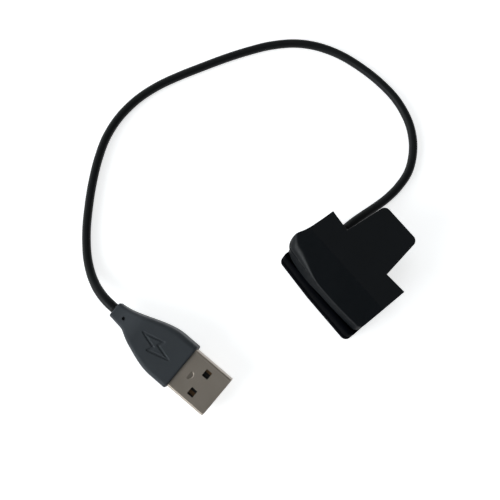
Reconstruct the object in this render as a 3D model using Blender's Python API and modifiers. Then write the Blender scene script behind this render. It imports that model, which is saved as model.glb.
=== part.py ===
"""Charging cable of a slim fitness tracker: a T-shaped spring clip, a short cable and a USB-A plug.

Units are metres and +Z is up. The clip stands on z = 0 with its finger tab towards +Y and its jaw
towards -Y. The lower lever is fixed, the upper lever turns on the hinge pin, and three sprung pins
stand in the seat. The cable leaves the clip beside the tab and lies on the same surface.
"""

import math

import bmesh
import bpy
from mathutils import Matrix, Vector

MM = 0.001

# Clip, seen from above. On the cable's side the head widens towards its jaw.
HEAD_HALF_WIDTH = 13.65 * MM
HEAD_REAR = 3.6 * MM
HEAD_REAR_AT_TAB = 2.95 * MM
CREASE = -3.8 * MM
UPPER_FRONT = -12.4 * MM
UPPER_BOW = 0.75 * MM
LOWER_FRONT = -14.85 * MM
FLARE_START = (-14.3 * MM, -2.6 * MM)
UPPER_LEFT_CORNER = (-16.38 * MM, -11.0 * MM)
UPPER_RIGHT_CORNER = (13.35 * MM, -11.6 * MM)
LOWER_LEFT_CORNER = (-14.4 * MM, -13.85 * MM)
LOWER_RIGHT_CORNER = (13.5 * MM, LOWER_FRONT)
WIDEST = 18.0 * MM
TAB_END = 14.75 * MM
TAB_BASE_HALF = 7.25 * MM
TAB_END_HALF = 5.9 * MM
TAB_CORNER = 1.7 * MM
LOWER_INSET = 0.3 * MM
LOWER_TAB_INSET = 1.0 * MM
LOWER_TAB_END = 13.2 * MM

# Clip, seen from the side
CLIP_TOP = 14.5 * MM
ROOF = 1.35 * MM
SLOPE_FRONT = (-10.9 * MM, 12.35 * MM)
UPPER_LIP_BOTTOM = 8.0 * MM
LIP_INNER = -10.9 * MM
TAB_THICKNESS = 1.8 * MM
TUB_TOP = 3.4 * MM
PART_GAP = 0.3 * MM
SEAT_TOP = 4.8 * MM
LOWER_LIP_TOP = 7.0 * MM
FLOOR = 1.1 * MM
WALL = 1.3 * MM
LOWER_TAB_TOP = 2.9 * MM

# Hinge
HINGE_Y = 0.5 * MM
HINGE_Z = 7.8 * MM
PIN_RADIUS = 0.8 * MM
PIN_BORE = 0.95 * MM
CHEEK_RADIUS = 2.4 * MM
CHEEK_INNER = 12.2 * MM
EAR_RADIUS = 2.2 * MM
EAR_LOW, EAR_HIGH = 10.2 * MM, 11.8 * MM
SPRING_RADIUS = 1.6 * MM
SPRING_WIRE = 0.28 * MM
SPRING_HALF_LENGTH = 1.5 * MM
SPRING_TURNS = 4
SPRING_LEG_ANGLE = math.radians(22)
SPRING_LEG = 7.6 * MM
SPRING_SLOT_HALF = 2.6 * MM

# Contact pins
PIN_PITCH = 3.0 * MM
PIN_Y = -7.0 * MM
BLOCK_SIZE = (10.0 * MM, 3.2 * MM)
BLOCK_TOP = 5.6 * MM
BARREL_RADIUS = 0.8 * MM
BARREL_BORE = 0.62 * MM
BARREL_MOUTH = 0.48 * MM
BARREL_BOTTOM = 2.5 * MM
BARREL_TOP = 5.5 * MM
PLUNGER_TOP = 6.6 * MM
PLUNGER_RADIUS = 0.4 * MM
PLUNGER_COLLAR = 0.55 * MM

# Circuit board and wires
BOARD_BOTTOM, BOARD_TOP = 1.45 * MM, 2.25 * MM
BOARD_HALF = 8.5 * MM
BOARD_FRONT, BOARD_REAR = -9.8 * MM, -0.6 * MM
POST = (6.8 * MM, -8.4 * MM)
WIRE_RADIUS = 0.3 * MM
WIRE_SPACING = 0.8 * MM

# Cable
CABLE_RADIUS = 1.19 * MM
CABLE_POINTS = 66
CABLE_X = -9.2 * MM
GLAND_Z = 2.45 * MM
GLAND_END = 5.4 * MM
# The route that the cable lies in, in millimetres, from the clip's gland to the plug's neck
CABLE_ROUTE_MM = [
    (-9.2, 5.7, 2.45),
    (-9.15, 8.5, 2.1),
    (-8.85, 12.0, 1.5),
    (-8.4, 16.0, 1.2),
    (-8.15, 20.0, 1.2),
    (-8.45, 24.4, 1.2),
    (-9.7, 29.2, 1.2),
    (-12.3, 33.3, 1.2),
    (-16.0, 36.8, 1.2),
    (-21.0, 39.5, 1.2),
    (-27.4, 41.0, 1.2),
    (-34.1, 40.95, 1.2),
    (-40.8, 39.9, 1.2),
    (-47.3, 38.0, 1.2),
    (-53.3, 34.9, 1.2),
    (-58.3, 30.6, 1.2),
    (-62.3, 25.0, 1.2),
    (-65.3, 18.9, 1.2),
    (-67.85, 12.6, 1.2),
    (-70.1, 6.1, 1.2),
    (-72.2, -0.3, 1.2),
    (-73.9, -6.9, 1.2),
    (-74.6, -13.7, 1.2),
    (-73.9, -20.6, 1.2),
    (-71.75, -27.05, 1.2),
    (-68.25, -32.9, 1.2),
    (-64.05, -38.3, 1.2),
    (-59.6, -43.2, 1.2),
    (-54.85, -47.8, 1.2),
    (-49.8, -51.7, 1.2),
    (-45.5, -54.0, 1.6),
    (-41.7, -55.2, 2.5),
    (-38.4, -55.65, 3.5),
    (-35.4, -55.6, 4.25),
    (-32.78, -55.28, 4.4),
]

# Plug, in its own frame: +X towards the socket, from the neck's end
PLUG_NECK = (-32.48 * MM, -55.23 * MM)
PLUG_HEADING = math.radians(9.0)
PLUG_ROLL = math.radians(8.0)
GRIP_LENGTH = 23.5 * MM
GRIP_HALF_WIDTH = 6.8 * MM
GRIP_FLARE = 18.3 * MM
GRIP_HALF_HEIGHT = 3.6 * MM
GRIP_CORNER = 1.1 * MM
NECK_HALF_WIDTH = 2.2 * MM
NECK_HALF_HEIGHT = 1.9 * MM
CAVITY_START = 11.4 * MM
CAVITY_GAP = 0.12 * MM
NECK_BORE = 1.15 * MM
SHELL_WIDTH, SHELL_HEIGHT = 12.0 * MM, 4.5 * MM
SHELL_WALL = 0.3 * MM
SHELL_LENGTH = 18.75 * MM
SHELL_END = 35.35 * MM
SHELL_CORNER = 0.8 * MM
WINDOW_BACK = 5.7 * MM
WINDOW_SIDE = 3.0 * MM
WINDOW_LENGTH, WINDOW_WIDTH = 1.8 * MM, 2.1 * MM
CONTACTS = [(-3.5 * MM, 0.6 * MM), (-1.0 * MM, 1.6 * MM), (1.0 * MM, 1.6 * MM), (3.5 * MM, 0.6 * MM)]
PLUG_WIRE_RADIUS = 0.33 * MM
WIRE_TRIANGLE = 0.6 * MM


# ---------------------------------------------------------------- scene and materials

for old in list(bpy.data.objects):
    bpy.data.objects.remove(old)

PARTS = bpy.data.collections.new("tracker_charging_cable")
CUTTERS = bpy.data.collections.new("cutters")
for group in (PARTS, CUTTERS):
    bpy.context.scene.collection.children.link(group)
CUTTERS.hide_render = True


def material(name, color, roughness, metallic=0.0):
    made = bpy.data.materials.new(name)
    made.use_nodes = True
    shader = made.node_tree.nodes["Principled BSDF"]
    shader.inputs["Base Color"].default_value = (*color, 1.0)
    shader.inputs["Roughness"].default_value = roughness
    shader.inputs["Metallic"].default_value = metallic
    return made


CASE_PLASTIC = material("black_case_plastic", (0.012, 0.013, 0.015), 0.38)
GRIP_PLASTIC = material("grip_overmould", (0.030, 0.036, 0.040), 0.55)
INNER_PLASTIC = material("inner_black_plastic", (0.010, 0.010, 0.011), 0.5)
NATURAL_PLASTIC = material("natural_plastic", (0.62, 0.60, 0.55), 0.5)
PAD_RUBBER = material("pad_rubber", (0.020, 0.020, 0.021), 0.8)
JACKET = material("cable_jacket", (0.014, 0.015, 0.017), 0.42)
NICKEL = material("nickel_shell", (0.55, 0.50, 0.46), 0.3, 1.0)
STEEL = material("spring_steel", (0.56, 0.57, 0.58), 0.3, 1.0)
GOLD = material("gold_plate", (0.83, 0.62, 0.27), 0.25, 1.0)
BOARD_GREEN = material("board_laminate", (0.02, 0.16, 0.07), 0.45)
WIRE_RED = material("red_insulation", (0.45, 0.02, 0.02), 0.45)
WIRE_BLACK = material("black_insulation", (0.02, 0.02, 0.02), 0.45)
WIRE_GREEN = material("green_insulation", (0.02, 0.25, 0.06), 0.45)
WIRE_COLORS = (WIRE_RED, WIRE_BLACK, WIRE_GREEN)


# ---------------------------------------------------------------- making shapes


def weld(mesh, distance=1e-6):
    """Joins loose caps to their sides and turns every face outwards."""
    bm = bmesh.new()
    bm.from_mesh(mesh)
    bmesh.ops.remove_doubles(bm, verts=bm.verts, dist=distance)
    bmesh.ops.recalc_face_normals(bm, faces=bm.faces)
    bm.to_mesh(mesh)
    bm.free()


def piece(name, mesh, finish=None, parent=None):
    """An object for a mesh: a part when it has a finish, otherwise a cutter."""
    obj = bpy.data.objects.new(name, mesh)
    (PARTS if finish else CUTTERS).objects.link(obj)
    if finish:
        mesh.materials.append(finish)
    else:
        obj.hide_render = True
        obj.display_type = "WIRE"
    obj.parent = parent
    return obj


def curve_mesh(name, curve):
    """The welded mesh of a curve, which is then gone."""
    guide = bpy.data.objects.new(name, curve)
    bpy.context.scene.collection.objects.link(guide)
    graph = bpy.context.evaluated_depsgraph_get()
    mesh = bpy.data.meshes.new_from_object(guide.evaluated_get(graph))
    mesh.name = name
    bpy.data.objects.remove(guide)
    return mesh


def flat_mesh(name, outline, low, high, along="Z"):
    """A closed outline, (x, y) or (y, z), carried from low to high along Z or X."""
    curve = bpy.data.curves.new(name, "CURVE")
    curve.dimensions = "2D"
    curve.fill_mode = "BOTH"
    # The outline is filled at a thousand times its size, where the fill keeps its fine points.
    curve.extrude = (high - low) / 2 / MM
    spline = curve.splines.new("POLY")
    spline.points.add(len(outline) - 1)
    for point, (u, v) in zip(spline.points, outline):
        point.co = (u / MM, v / MM, 0.0, 1.0)
    spline.use_cyclic_u = True
    mesh = curve_mesh(name, curve)
    turn = Matrix(((0, 0, 1, 0), (1, 0, 0, 0), (0, 1, 0, 0), (0, 0, 0, 1)))
    place = Matrix.Translation((0, 0, (low + high) / 2)) @ Matrix.Scale(MM, 4)
    mesh.transform(turn @ place if along == "X" else place)
    weld(mesh)
    return mesh


def flat(name, outline, low, high, finish=None, along="Z", parent=None):
    return piece(name, flat_mesh(name, outline, low, high, along), finish, parent)


def box(name, low, high, finish=None, parent=None):
    """A box from its two corners, made from a unit cube."""
    bm = bmesh.new()
    bmesh.ops.create_cube(bm, size=1.0)
    size = [b - a for a, b in zip(low, high)]
    middle = [(a + b) / 2 for a, b in zip(low, high)]
    bmesh.ops.scale(bm, vec=size, verts=bm.verts)
    bmesh.ops.translate(bm, vec=middle, verts=bm.verts)
    mesh = bpy.data.meshes.new(name)
    bm.to_mesh(mesh)
    bm.free()
    return piece(name, mesh, finish, parent)


def rod(name, start, end, radius, finish=None, sides=28, parent=None):
    """A round bar between two points."""
    start, end = Vector(start), Vector(end)
    turn = (end - start).to_track_quat("Z", "Y").to_matrix().to_4x4()
    bm = bmesh.new()
    bmesh.ops.create_cone(
        bm,
        cap_ends=True,
        segments=sides,
        radius1=radius,
        radius2=radius,
        depth=(end - start).length,
        matrix=Matrix.Translation((start + end) / 2) @ turn,
    )
    mesh = bpy.data.meshes.new(name)
    bm.to_mesh(mesh)
    bm.free()
    return piece(name, mesh, finish, parent)


def turned(name, profile, finish=None, steps=28, place=None, parent=None):
    """A profile of (radius, height) points, turned round Z; it runs down its outer side."""
    mesh = bpy.data.meshes.new(name)
    points = [(radius, 0.0, height) for radius, height in profile]
    edges = [(i, i + 1) for i in range(len(points) - 1)]
    mesh.from_pydata(points, edges, [])
    obj = piece(name, mesh, finish, parent)
    if place:
        obj.matrix_local = place
    screw = obj.modifiers.new("turn", "SCREW")
    screw.steps = steps
    screw.render_steps = steps
    screw.use_merge_vertices = True
    screw.merge_threshold = 0.000005
    screw.use_smooth_shade = True
    return obj


def tube(name, points, radius, finish, parent=None):
    """A wire along the points, round in section."""
    curve = bpy.data.curves.new(name, "CURVE")
    curve.dimensions = "3D"
    curve.bevel_depth = radius
    curve.bevel_resolution = 2
    curve.use_fill_caps = True
    spline = curve.splines.new("POLY")
    spline.points.add(len(points) - 1)
    for point, place in zip(spline.points, points):
        point.co = (*place, 1.0)
    curve.materials.append(finish)
    obj = bpy.data.objects.new(name, curve)
    PARTS.objects.link(obj)
    obj.parent = parent
    return obj


def combine(target, other, operation):
    modifier = target.modifiers.new(other.name, "BOOLEAN")
    modifier.operation = operation
    modifier.object = other


def cut(target, *cutters):
    for cutter in cutters:
        combine(target, cutter, "DIFFERENCE")


def soften(target, width, angle=40):
    """Rounds the edges that are sharper than the angle."""
    bevel = target.modifiers.new("soften", "BEVEL")
    bevel.width = width
    bevel.segments = 2
    bevel.limit_method = "ANGLE"
    bevel.angle_limit = math.radians(angle)


def arc(centre, radius, start, end, steps):
    """Points on an arc, angles in degrees."""
    angles = [math.radians(start + (end - start) * k / steps) for k in range(steps + 1)]
    return [(centre[0] + radius * math.cos(a), centre[1] + radius * math.sin(a)) for a in angles]


def rounded(corners, steps=5):
    """The outline through (u, v, radius) corners, with an arc at each one that has a radius."""
    points = []
    for i, (u, v, radius) in enumerate(corners):
        corner = Vector((u, v))
        if not radius:
            points.append((u, v))
            continue
        before = (Vector(corners[i - 1][:2]) - corner).normalized()
        after = (Vector(corners[(i + 1) % len(corners)][:2]) - corner).normalized()
        half = before.angle(after) / 2
        middle = corner + (before + after).normalized() * radius / math.sin(half)
        first = before * radius / math.tan(half) + corner - middle
        last = after * radius / math.tan(half) + corner - middle
        start = math.atan2(first.y, first.x)
        sweep = (math.atan2(last.y, last.x) - start + math.pi) % math.tau - math.pi
        for k in range(steps + 1):
            angle = start + sweep * k / steps
            points.append((middle.x + radius * math.cos(angle), middle.y + radius * math.sin(angle)))
    return points


def mirrored(half):
    """A closed set of corners from its right-hand half, first and last on the middle line or not."""
    left = [(-u, v, radius) for u, v, radius in reversed(half) if u]
    return half + left


def smooth_route(points, count):
    """Evenly spaced points on a Catmull-Rom curve through the given ones."""
    knots = [Vector(p) for p in points]
    ends = [knots[0] * 2 - knots[1]] + knots + [knots[-1] * 2 - knots[-2]]
    fine = []
    for a, b, c, d in zip(ends, ends[1:], ends[2:], ends[3:]):
        for k in range(16):
            t = k / 16
            fine.append(
                (
                    b * 2
                    + (c - a) * t
                    + (a * 2 - b * 5 + c * 4 - d) * t * t
                    + (b * 3 - a - c * 3 + d) * t * t * t
                )
                / 2
            )
    fine.append(knots[-1])
    along = [0.0]
    for a, b in zip(fine, fine[1:]):
        along.append(along[-1] + (b - a).length)
    spaced = []
    j = 0
    for k in range(count):
        want = along[-1] * k / (count - 1)
        while j < len(along) - 2 and along[j + 1] < want:
            j += 1
        share = (want - along[j]) / (along[j + 1] - along[j])
        spaced.append(fine[j].lerp(fine[j + 1], share))
    return spaced


def ring(half_width, half_height, corner, steps=5):
    """A rounded rectangle in (y, z), as a list of points."""
    corners = [
        (half_width, half_height, corner),
        (-half_width, half_height, corner),
        (-half_width, -half_height, corner),
        (half_width, -half_height, corner),
    ]
    return rounded(corners, steps)


def loft(name, sections, finish=None, parent=None):
    """A closed body through (x, ring) sections that all have as many points."""
    bm = bmesh.new()
    rows = [[bm.verts.new((x, y, z)) for y, z in points] for x, points in sections]
    for first, second in zip(rows, rows[1:]):
        for i in range(len(first)):
            j = (i + 1) % len(first)
            bm.faces.new((first[i], first[j], second[j], second[i]))
    bm.faces.new(rows[0])
    bm.faces.new(rows[-1])
    bmesh.ops.recalc_face_normals(bm, faces=bm.faces)
    mesh = bpy.data.meshes.new(name)
    bm.to_mesh(mesh)
    bm.free()
    return piece(name, mesh, finish, parent)


# ---------------------------------------------------------------- clip outlines


def upper_front():
    """Corners of the upper jaw's front, left to right: a flared flank, a shallow arch, a tight corner."""
    middle = 1.0 * MM
    arch = []
    for x in (-8.0 * MM, -3.5 * MM, middle, 5.5 * MM, 9.5 * MM):
        arch.append((x, UPPER_FRONT + UPPER_BOW * ((x - middle) / HEAD_HALF_WIDTH) ** 2, 0))
    return [
        (*FLARE_START, 35 * MM),
        (*UPPER_LEFT_CORNER, 2.65 * MM),
        *arch,
        (*UPPER_RIGHT_CORNER, 1.5 * MM),
    ]


def lower_front():
    """Corners of the lower jaw's front, left to right."""
    return [
        (*LOWER_LEFT_CORNER, 1.5 * MM),
        (-2.0 * MM, LOWER_FRONT + 0.2 * MM, 0),
        (5.0 * MM, LOWER_FRONT + 0.1 * MM, 0),
        (*LOWER_RIGHT_CORNER, 1.7 * MM),
    ]


def clip_outline(front, inset, tab_inset, tab_end):
    """The T seen from above, from its front's left corner round to its rear's left corner."""
    right = [(HEAD_HALF_WIDTH - inset, HEAD_REAR - inset, 0.3 * MM)]
    if tab_end:
        right += [
            (TAB_BASE_HALF - tab_inset, HEAD_REAR_AT_TAB - inset, 0.8 * MM),
            (TAB_END_HALF - tab_inset, tab_end, TAB_CORNER),
        ]
    left = [(-u, v, radius) for u, v, radius in reversed(right)]
    return rounded(front + right + left)


# ---------------------------------------------------------------- upper lever

HINGE = bpy.data.objects.new("hinge_axis", None)
HINGE.location = (0, HINGE_Y, HINGE_Z)
bpy.context.scene.collection.objects.link(HINGE)
bpy.context.view_layer.update()


def on_hinge(obj):
    """Hangs a piece that is modelled in place on the hinge axis."""
    obj.parent = HINGE
    obj.matrix_parent_inverse = HINGE.matrix_world.inverted()


def upper_jaw_shell():
    tab_bottom = CLIP_TOP - TAB_THICKNESS
    skirt = 9.6 * MM
    rim = 11.2 * MM
    cheek = arc((HINGE_Y, HINGE_Z), CHEEK_RADIUS, 0, -180, 12)
    side = [
        (UPPER_FRONT, UPPER_LIP_BOTTOM),
        (UPPER_FRONT + 0.1 * MM, UPPER_LIP_BOTTOM + 1.6 * MM),
        (UPPER_FRONT + 0.55 * MM, 11.35 * MM),
        (UPPER_FRONT + 0.85 * MM, 11.95 * MM),
        SLOPE_FRONT,
        (CREASE, CLIP_TOP),
        (TAB_END, CLIP_TOP),
        (TAB_END, tab_bottom),
        (HEAD_REAR, tab_bottom),
        (HEAD_REAR, skirt),
        *cheek,
        (HINGE_Y - CHEEK_RADIUS - 0.6 * MM, rim),
        (LIP_INNER, rim),
        (LIP_INNER, UPPER_LIP_BOTTOM),
    ]
    shell = flat("upper_jaw_shell", side, -WIDEST, WIDEST, CASE_PLASTIC, "X")
    outline = clip_outline(upper_front(), 0, 0, TAB_END)
    combine(shell, flat("upper_plan", outline, 4 * MM, 16 * MM), "INTERSECT")
    rear_wall = HEAD_REAR - WALL
    hollow = [
        (LIP_INNER, 4 * MM),
        (HEAD_REAR + MM, 4 * MM),
        (HEAD_REAR + MM, skirt),
        (rear_wall, skirt),
        (rear_wall, CLIP_TOP - ROOF),
        (CREASE, CLIP_TOP - ROOF),
        (LIP_INNER, SLOPE_FRONT[1] - ROOF),
    ]
    spring_slot = box(
        "upper_spring_slot",
        (-SPRING_SLOT_HALF, rear_wall - MM, 9 * MM),
        (SPRING_SLOT_HALF, HEAD_REAR + MM, 11.6 * MM),
    )
    cut(
        shell,
        flat("upper_hollow", hollow, -CHEEK_INNER, CHEEK_INNER, None, "X"),
        rod("cheek_bore", (-20 * MM, HINGE_Y, HINGE_Z), (20 * MM, HINGE_Y, HINGE_Z), PIN_BORE),
        spring_slot,
    )
    on_hinge(shell)


def jaw_liner():
    corners = [
        (11.9 * MM, -9.8 * MM, 2.0 * MM),
        (11.9 * MM, -2.8 * MM, 0.4 * MM),
    ]
    liner = flat("jaw_liner", rounded(mirrored(corners)), 10.1 * MM, 10.95 * MM, INNER_PLASTIC)
    soften(liner, 0.15 * MM)
    on_hinge(liner)


def jaw_pad():
    corners = [(8.5 * MM, -9.4 * MM, 1.5 * MM), (8.5 * MM, -4.0 * MM, 1.5 * MM)]
    pad = flat("jaw_pad", rounded(mirrored(corners)), 9.2 * MM, 9.9 * MM, PAD_RUBBER)
    soften(pad, 0.2 * MM)
    on_hinge(pad)


# ---------------------------------------------------------------- lower lever


def gland_bore():
    return rod(
        "gland_bore",
        (CABLE_X, -0.2 * MM, GLAND_Z),
        (CABLE_X, 6 * MM, GLAND_Z),
        1.45 * MM,
    )


def gland_pocket():
    return box(
        "gland_pocket",
        (CABLE_X - 1.95 * MM, -0.2 * MM, 0.6 * MM),
        (CABLE_X + 1.95 * MM, HEAD_REAR - LOWER_INSET - WALL, 4.3 * MM),
    )


def base_lower_shell():
    rear = HEAD_REAR - LOWER_INSET
    side = [
        (LOWER_FRONT + 1.1 * MM, 0),
        (LOWER_FRONT + 0.25 * MM, 0.5 * MM),
        (LOWER_FRONT, 1.4 * MM),
        (LOWER_FRONT + 0.15 * MM, 2.6 * MM),
        (LOWER_FRONT + 0.45 * MM, TUB_TOP),
        (rear, TUB_TOP),
        (rear + 0.5 * MM, LOWER_TAB_TOP),
        (LOWER_TAB_END, LOWER_TAB_TOP),
        (LOWER_TAB_END, 1.4 * MM),
        (rear + 1.2 * MM, 0.8 * MM),
        (rear, 0),
    ]
    shell = flat("base_lower_shell", side, -WIDEST, WIDEST, CASE_PLASTIC, "X")
    outline = clip_outline(lower_front(), LOWER_INSET, LOWER_TAB_INSET, LOWER_TAB_END)
    combine(shell, flat("lower_plan", outline, -1 * MM, 9 * MM), "INTERSECT")
    half = HEAD_HALF_WIDTH - LOWER_INSET - WALL
    room = rounded(
        mirrored(
            [
                (half, LOWER_FRONT + 2.1 * MM, 2.0 * MM),
                (half, rear - WALL, 0.6 * MM),
            ]
        )
    )
    cut(shell, flat("tub_room", room, FLOOR, 9 * MM), gland_bore(), gland_pocket())
    for k, side_sign in enumerate((-1, 1)):
        x, y = POST[0] * side_sign, POST[1]
        profile = [
            (0, BOARD_TOP + 0.5 * MM),
            (0.7 * MM, BOARD_TOP + 0.5 * MM),
            (0.7 * MM, BOARD_BOTTOM - 0.1 * MM),
            (1.4 * MM, BOARD_BOTTOM - 0.1 * MM),
            (1.4 * MM, FLOOR - 0.3 * MM),
            (0, FLOOR - 0.3 * MM),
        ]
        post = turned(f"board_post_{k}", profile, steps=20, place=Matrix.Translation((x, y, 0)))
        combine(shell, post, "UNION")


def base_seat_cover():
    rear = HEAD_REAR - LOWER_INSET
    bottom = TUB_TOP + PART_GAP
    side = [
        (LOWER_FRONT + 0.55 * MM, bottom),
        (LOWER_FRONT + 1.25 * MM, 6.2 * MM),
        (LOWER_FRONT + 1.5 * MM, 6.75 * MM),
        (LOWER_FRONT + 1.9 * MM, LOWER_LIP_TOP),
        (LOWER_FRONT + 2.4 * MM, LOWER_LIP_TOP - 0.1 * MM),
        (LOWER_FRONT + 2.8 * MM, SEAT_TOP + 0.7 * MM),
        (LOWER_FRONT + 3.5 * MM, SEAT_TOP),
        (rear, SEAT_TOP),
        (rear, bottom),
    ]
    cover = flat("base_seat_cover", side, -WIDEST, WIDEST, CASE_PLASTIC, "X")
    plan = flat("seat_plan", clip_outline(lower_front(), LOWER_INSET, 0, None), 0, 9 * MM)
    combine(cover, plan, "INTERSECT")
    ear = [
        (HINGE_Y + EAR_RADIUS, SEAT_TOP - 0.4 * MM),
        *arc((HINGE_Y, HINGE_Z), EAR_RADIUS, 0, 180, 12),
        (HINGE_Y - EAR_RADIUS, SEAT_TOP - 0.4 * MM),
    ]
    for k, (low, high) in enumerate(((-EAR_HIGH, -EAR_LOW), (EAR_LOW, EAR_HIGH))):
        combine(cover, flat(f"hinge_ear_{k}", ear, low, high, None, "X"), "UNION")
    spring_slot = box(
        "seat_spring_slot",
        (-SPRING_SLOT_HALF, 1.2 * MM, 4.2 * MM),
        (SPRING_SLOT_HALF, HEAD_REAR + MM, 6 * MM),
    )
    half_x = BLOCK_SIZE[0] / 2 + PART_GAP
    half_y = BLOCK_SIZE[1] / 2 + PART_GAP
    block_hole = box(
        "block_hole",
        (-half_x, PIN_Y - half_y, 3 * MM),
        (half_x, PIN_Y + half_y, 6 * MM),
    )
    cut(cover, spring_slot, block_hole, gland_bore(), gland_pocket())
    for k, side_sign in enumerate((-1, 1)):
        low, high = (EAR_LOW - MM) * side_sign, (EAR_HIGH + MM) * side_sign
        cut(cover, rod(f"ear_bore_{k}", (low, HINGE_Y, HINGE_Z), (high, HINGE_Y, HINGE_Z), PIN_BORE))


def clip_circuit_board():
    corners = [
        (BOARD_HALF, BOARD_FRONT, 1.0 * MM),
        (BOARD_HALF, BOARD_REAR, 1.0 * MM),
    ]
    board = flat(
        "clip_circuit_board", rounded(mirrored(corners)), BOARD_BOTTOM, BOARD_TOP, BOARD_GREEN
    )
    for side in (-1, 1):
        x, y = POST[0] * side, POST[1]
        cut(board, rod(f"post_hole_{side}", (x, y, 0), (x, y, 4 * MM), 0.95 * MM, sides=20))


def contact_pins():
    """The insulating block with its three sprung pins: barrel, spring and plunger."""
    corners = [
        (BLOCK_SIZE[0] / 2, PIN_Y - BLOCK_SIZE[1] / 2, 0.6 * MM),
        (BLOCK_SIZE[0] / 2, PIN_Y + BLOCK_SIZE[1] / 2, 0.6 * MM),
    ]
    block = flat("pin_block", rounded(mirrored(corners)), 2.6 * MM, BLOCK_TOP, INNER_PLASTIC)
    inner_floor = BARREL_BOTTOM + 0.4 * MM
    lip = BARREL_TOP - 0.3 * MM
    barrel = [
        (0, inner_floor),
        (BARREL_BORE, inner_floor),
        (BARREL_BORE, lip),
        (BARREL_MOUTH, lip),
        (BARREL_MOUTH, BARREL_TOP),
        (BARREL_RADIUS, BARREL_TOP),
        (BARREL_RADIUS, BARREL_BOTTOM),
        (0, BARREL_BOTTOM),
    ]
    collar_top = lip - 0.05 * MM
    collar_bottom = collar_top - 0.5 * MM
    nose = [
        (PLUNGER_RADIUS * math.sin(a), PLUNGER_TOP - PLUNGER_RADIUS * (1 - math.cos(a)))
        for a in (math.radians(15 * k) for k in range(7))
    ]
    plunger = nose + [
        (PLUNGER_RADIUS, collar_top),
        (PLUNGER_COLLAR, collar_top),
        (PLUNGER_COLLAR, collar_bottom),
        (0, collar_bottom),
    ]
    for k in (-1, 0, 1):
        x = PIN_PITCH * k
        place = Matrix.Translation((x, PIN_Y, 0))
        number = k + 2
        cut(block, rod(f"pin_hole_{number}", (x, PIN_Y, 0), (x, PIN_Y, 8 * MM), 0.92 * MM))
        turned(f"pogo_barrel_{number}", barrel, GOLD, place=place)
        turned(f"pogo_plunger_{number}", plunger, GOLD, place=place)
        spring = coil(4, 12, 0.42 * MM, inner_floor + 0.12 * MM, collar_bottom - 0.12 * MM)
        wire = tube(f"pogo_spring_{number}", spring, 0.075 * MM, STEEL)
        wire.location = (x, PIN_Y, 0)


def coil(turns, steps, radius, low, high):
    """Points of a helix round Z."""
    count = turns * steps
    angles = [math.tau * k / steps for k in range(count + 1)]
    return [
        (radius * math.cos(a), radius * math.sin(a), low + (high - low) * k / count)
        for k, a in enumerate(angles)
    ]


def hinge_pin():
    half = HEAD_HALF_WIDTH - 0.3 * MM
    pin = rod("hinge_pin", (-half, HINGE_Y, HINGE_Z), (half, HINGE_Y, HINGE_Z), PIN_RADIUS, STEEL)
    soften(pin, 0.12 * MM)


def torsion_spring():
    """Coils round the hinge pin, with a leg to each finger tab."""
    heading = SPRING_LEG_ANGLE
    start = heading + math.pi / 2
    sweep = math.tau * SPRING_TURNS + math.tau - 2 * start
    steps = 16 * SPRING_TURNS + 6
    coils = []
    for k in range(steps + 1):
        angle = start + sweep * k / steps
        x = SPRING_HALF_LENGTH * (2 * k / steps - 1)
        y = HINGE_Y + SPRING_RADIUS * math.cos(angle)
        z = HINGE_Z + SPRING_RADIUS * math.sin(angle)
        coils.append((x, y, z))

    def leg(root, rise):
        reach = [SPRING_LEG * k / 3 for k in (3, 2, 1)]
        return [
            (root[0], root[1] + r * math.cos(heading), root[2] + rise * r * math.sin(heading))
            for r in reach
        ]

    upper = leg(coils[0], 1)
    lower = list(reversed(leg(coils[-1], -1)))
    tube("torsion_spring", upper + coils + lower, SPRING_WIRE, STEEL)


def cable_gland():
    """Strain relief: a flange inside the wall, a neck through it and a short taper outside."""
    rear = HEAD_REAR - LOWER_INSET
    profile = [
        (0, GLAND_END),
        (1.3 * MM, GLAND_END),
        (1.65 * MM, rear + 0.2 * MM),
        (1.3 * MM, rear + 0.2 * MM),
        (1.3 * MM, rear - WALL - 0.2 * MM),
        (1.65 * MM, rear - WALL - 0.2 * MM),
        (1.65 * MM, 0.9 * MM),
        (0, 0.9 * MM),
    ]
    turn = Matrix.Rotation(math.radians(-90), 4, "X")
    turned("cable_gland", profile, JACKET, place=Matrix.Translation((CABLE_X, 0, GLAND_Z)) @ turn)


def clip_wires():
    """Three wires from the gland to solder pads along the board's edge, nested so none cross."""
    height = BOARD_TOP + WIRE_RADIUS + 0.1 * MM
    for k in range(3):
        x = CABLE_X + WIRE_SPACING * (k - 1)
        y = -1.6 * MM - 1.3 * MM * (2 - k)
        bend = 0.9 * MM
        corner = [
            (x + bend - bend * math.cos(a), y + bend - bend * math.sin(a), height)
            for a in (math.radians(15 * step) for step in range(7))
        ]
        points = [(x, 0.6 * MM, height), *corner, (-5.2 * MM, y, height)]
        tube(f"clip_wire_{k + 1}", points, WIRE_RADIUS, WIRE_COLORS[k])


# ---------------------------------------------------------------- cable and plug


def cable_jacket():
    route = [(x * MM, y * MM, z * MM) for x, y, z in CABLE_ROUTE_MM]
    tube("cable_jacket", smooth_route(route, CABLE_POINTS), CABLE_RADIUS, JACKET)


def plug_axis_height():
    """Height of the plug's axis when the rolled grip's lower edge rests on the surface."""
    across = (GRIP_HALF_WIDTH - GRIP_CORNER) * math.sin(PLUG_ROLL)
    down = (GRIP_HALF_HEIGHT - GRIP_CORNER) * math.cos(PLUG_ROLL)
    return across + down + GRIP_CORNER + 0.05 * MM


def plug_frame():
    frame = bpy.data.objects.new("plug_frame", None)
    frame.rotation_euler = (PLUG_ROLL, 0, PLUG_HEADING)
    frame.location = (*PLUG_NECK, plug_axis_height())
    bpy.context.scene.collection.objects.link(frame)
    return frame


def eased(share):
    share = min(max(share, 0.0), 1.0)
    return share * share * (3 - 2 * share)


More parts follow.
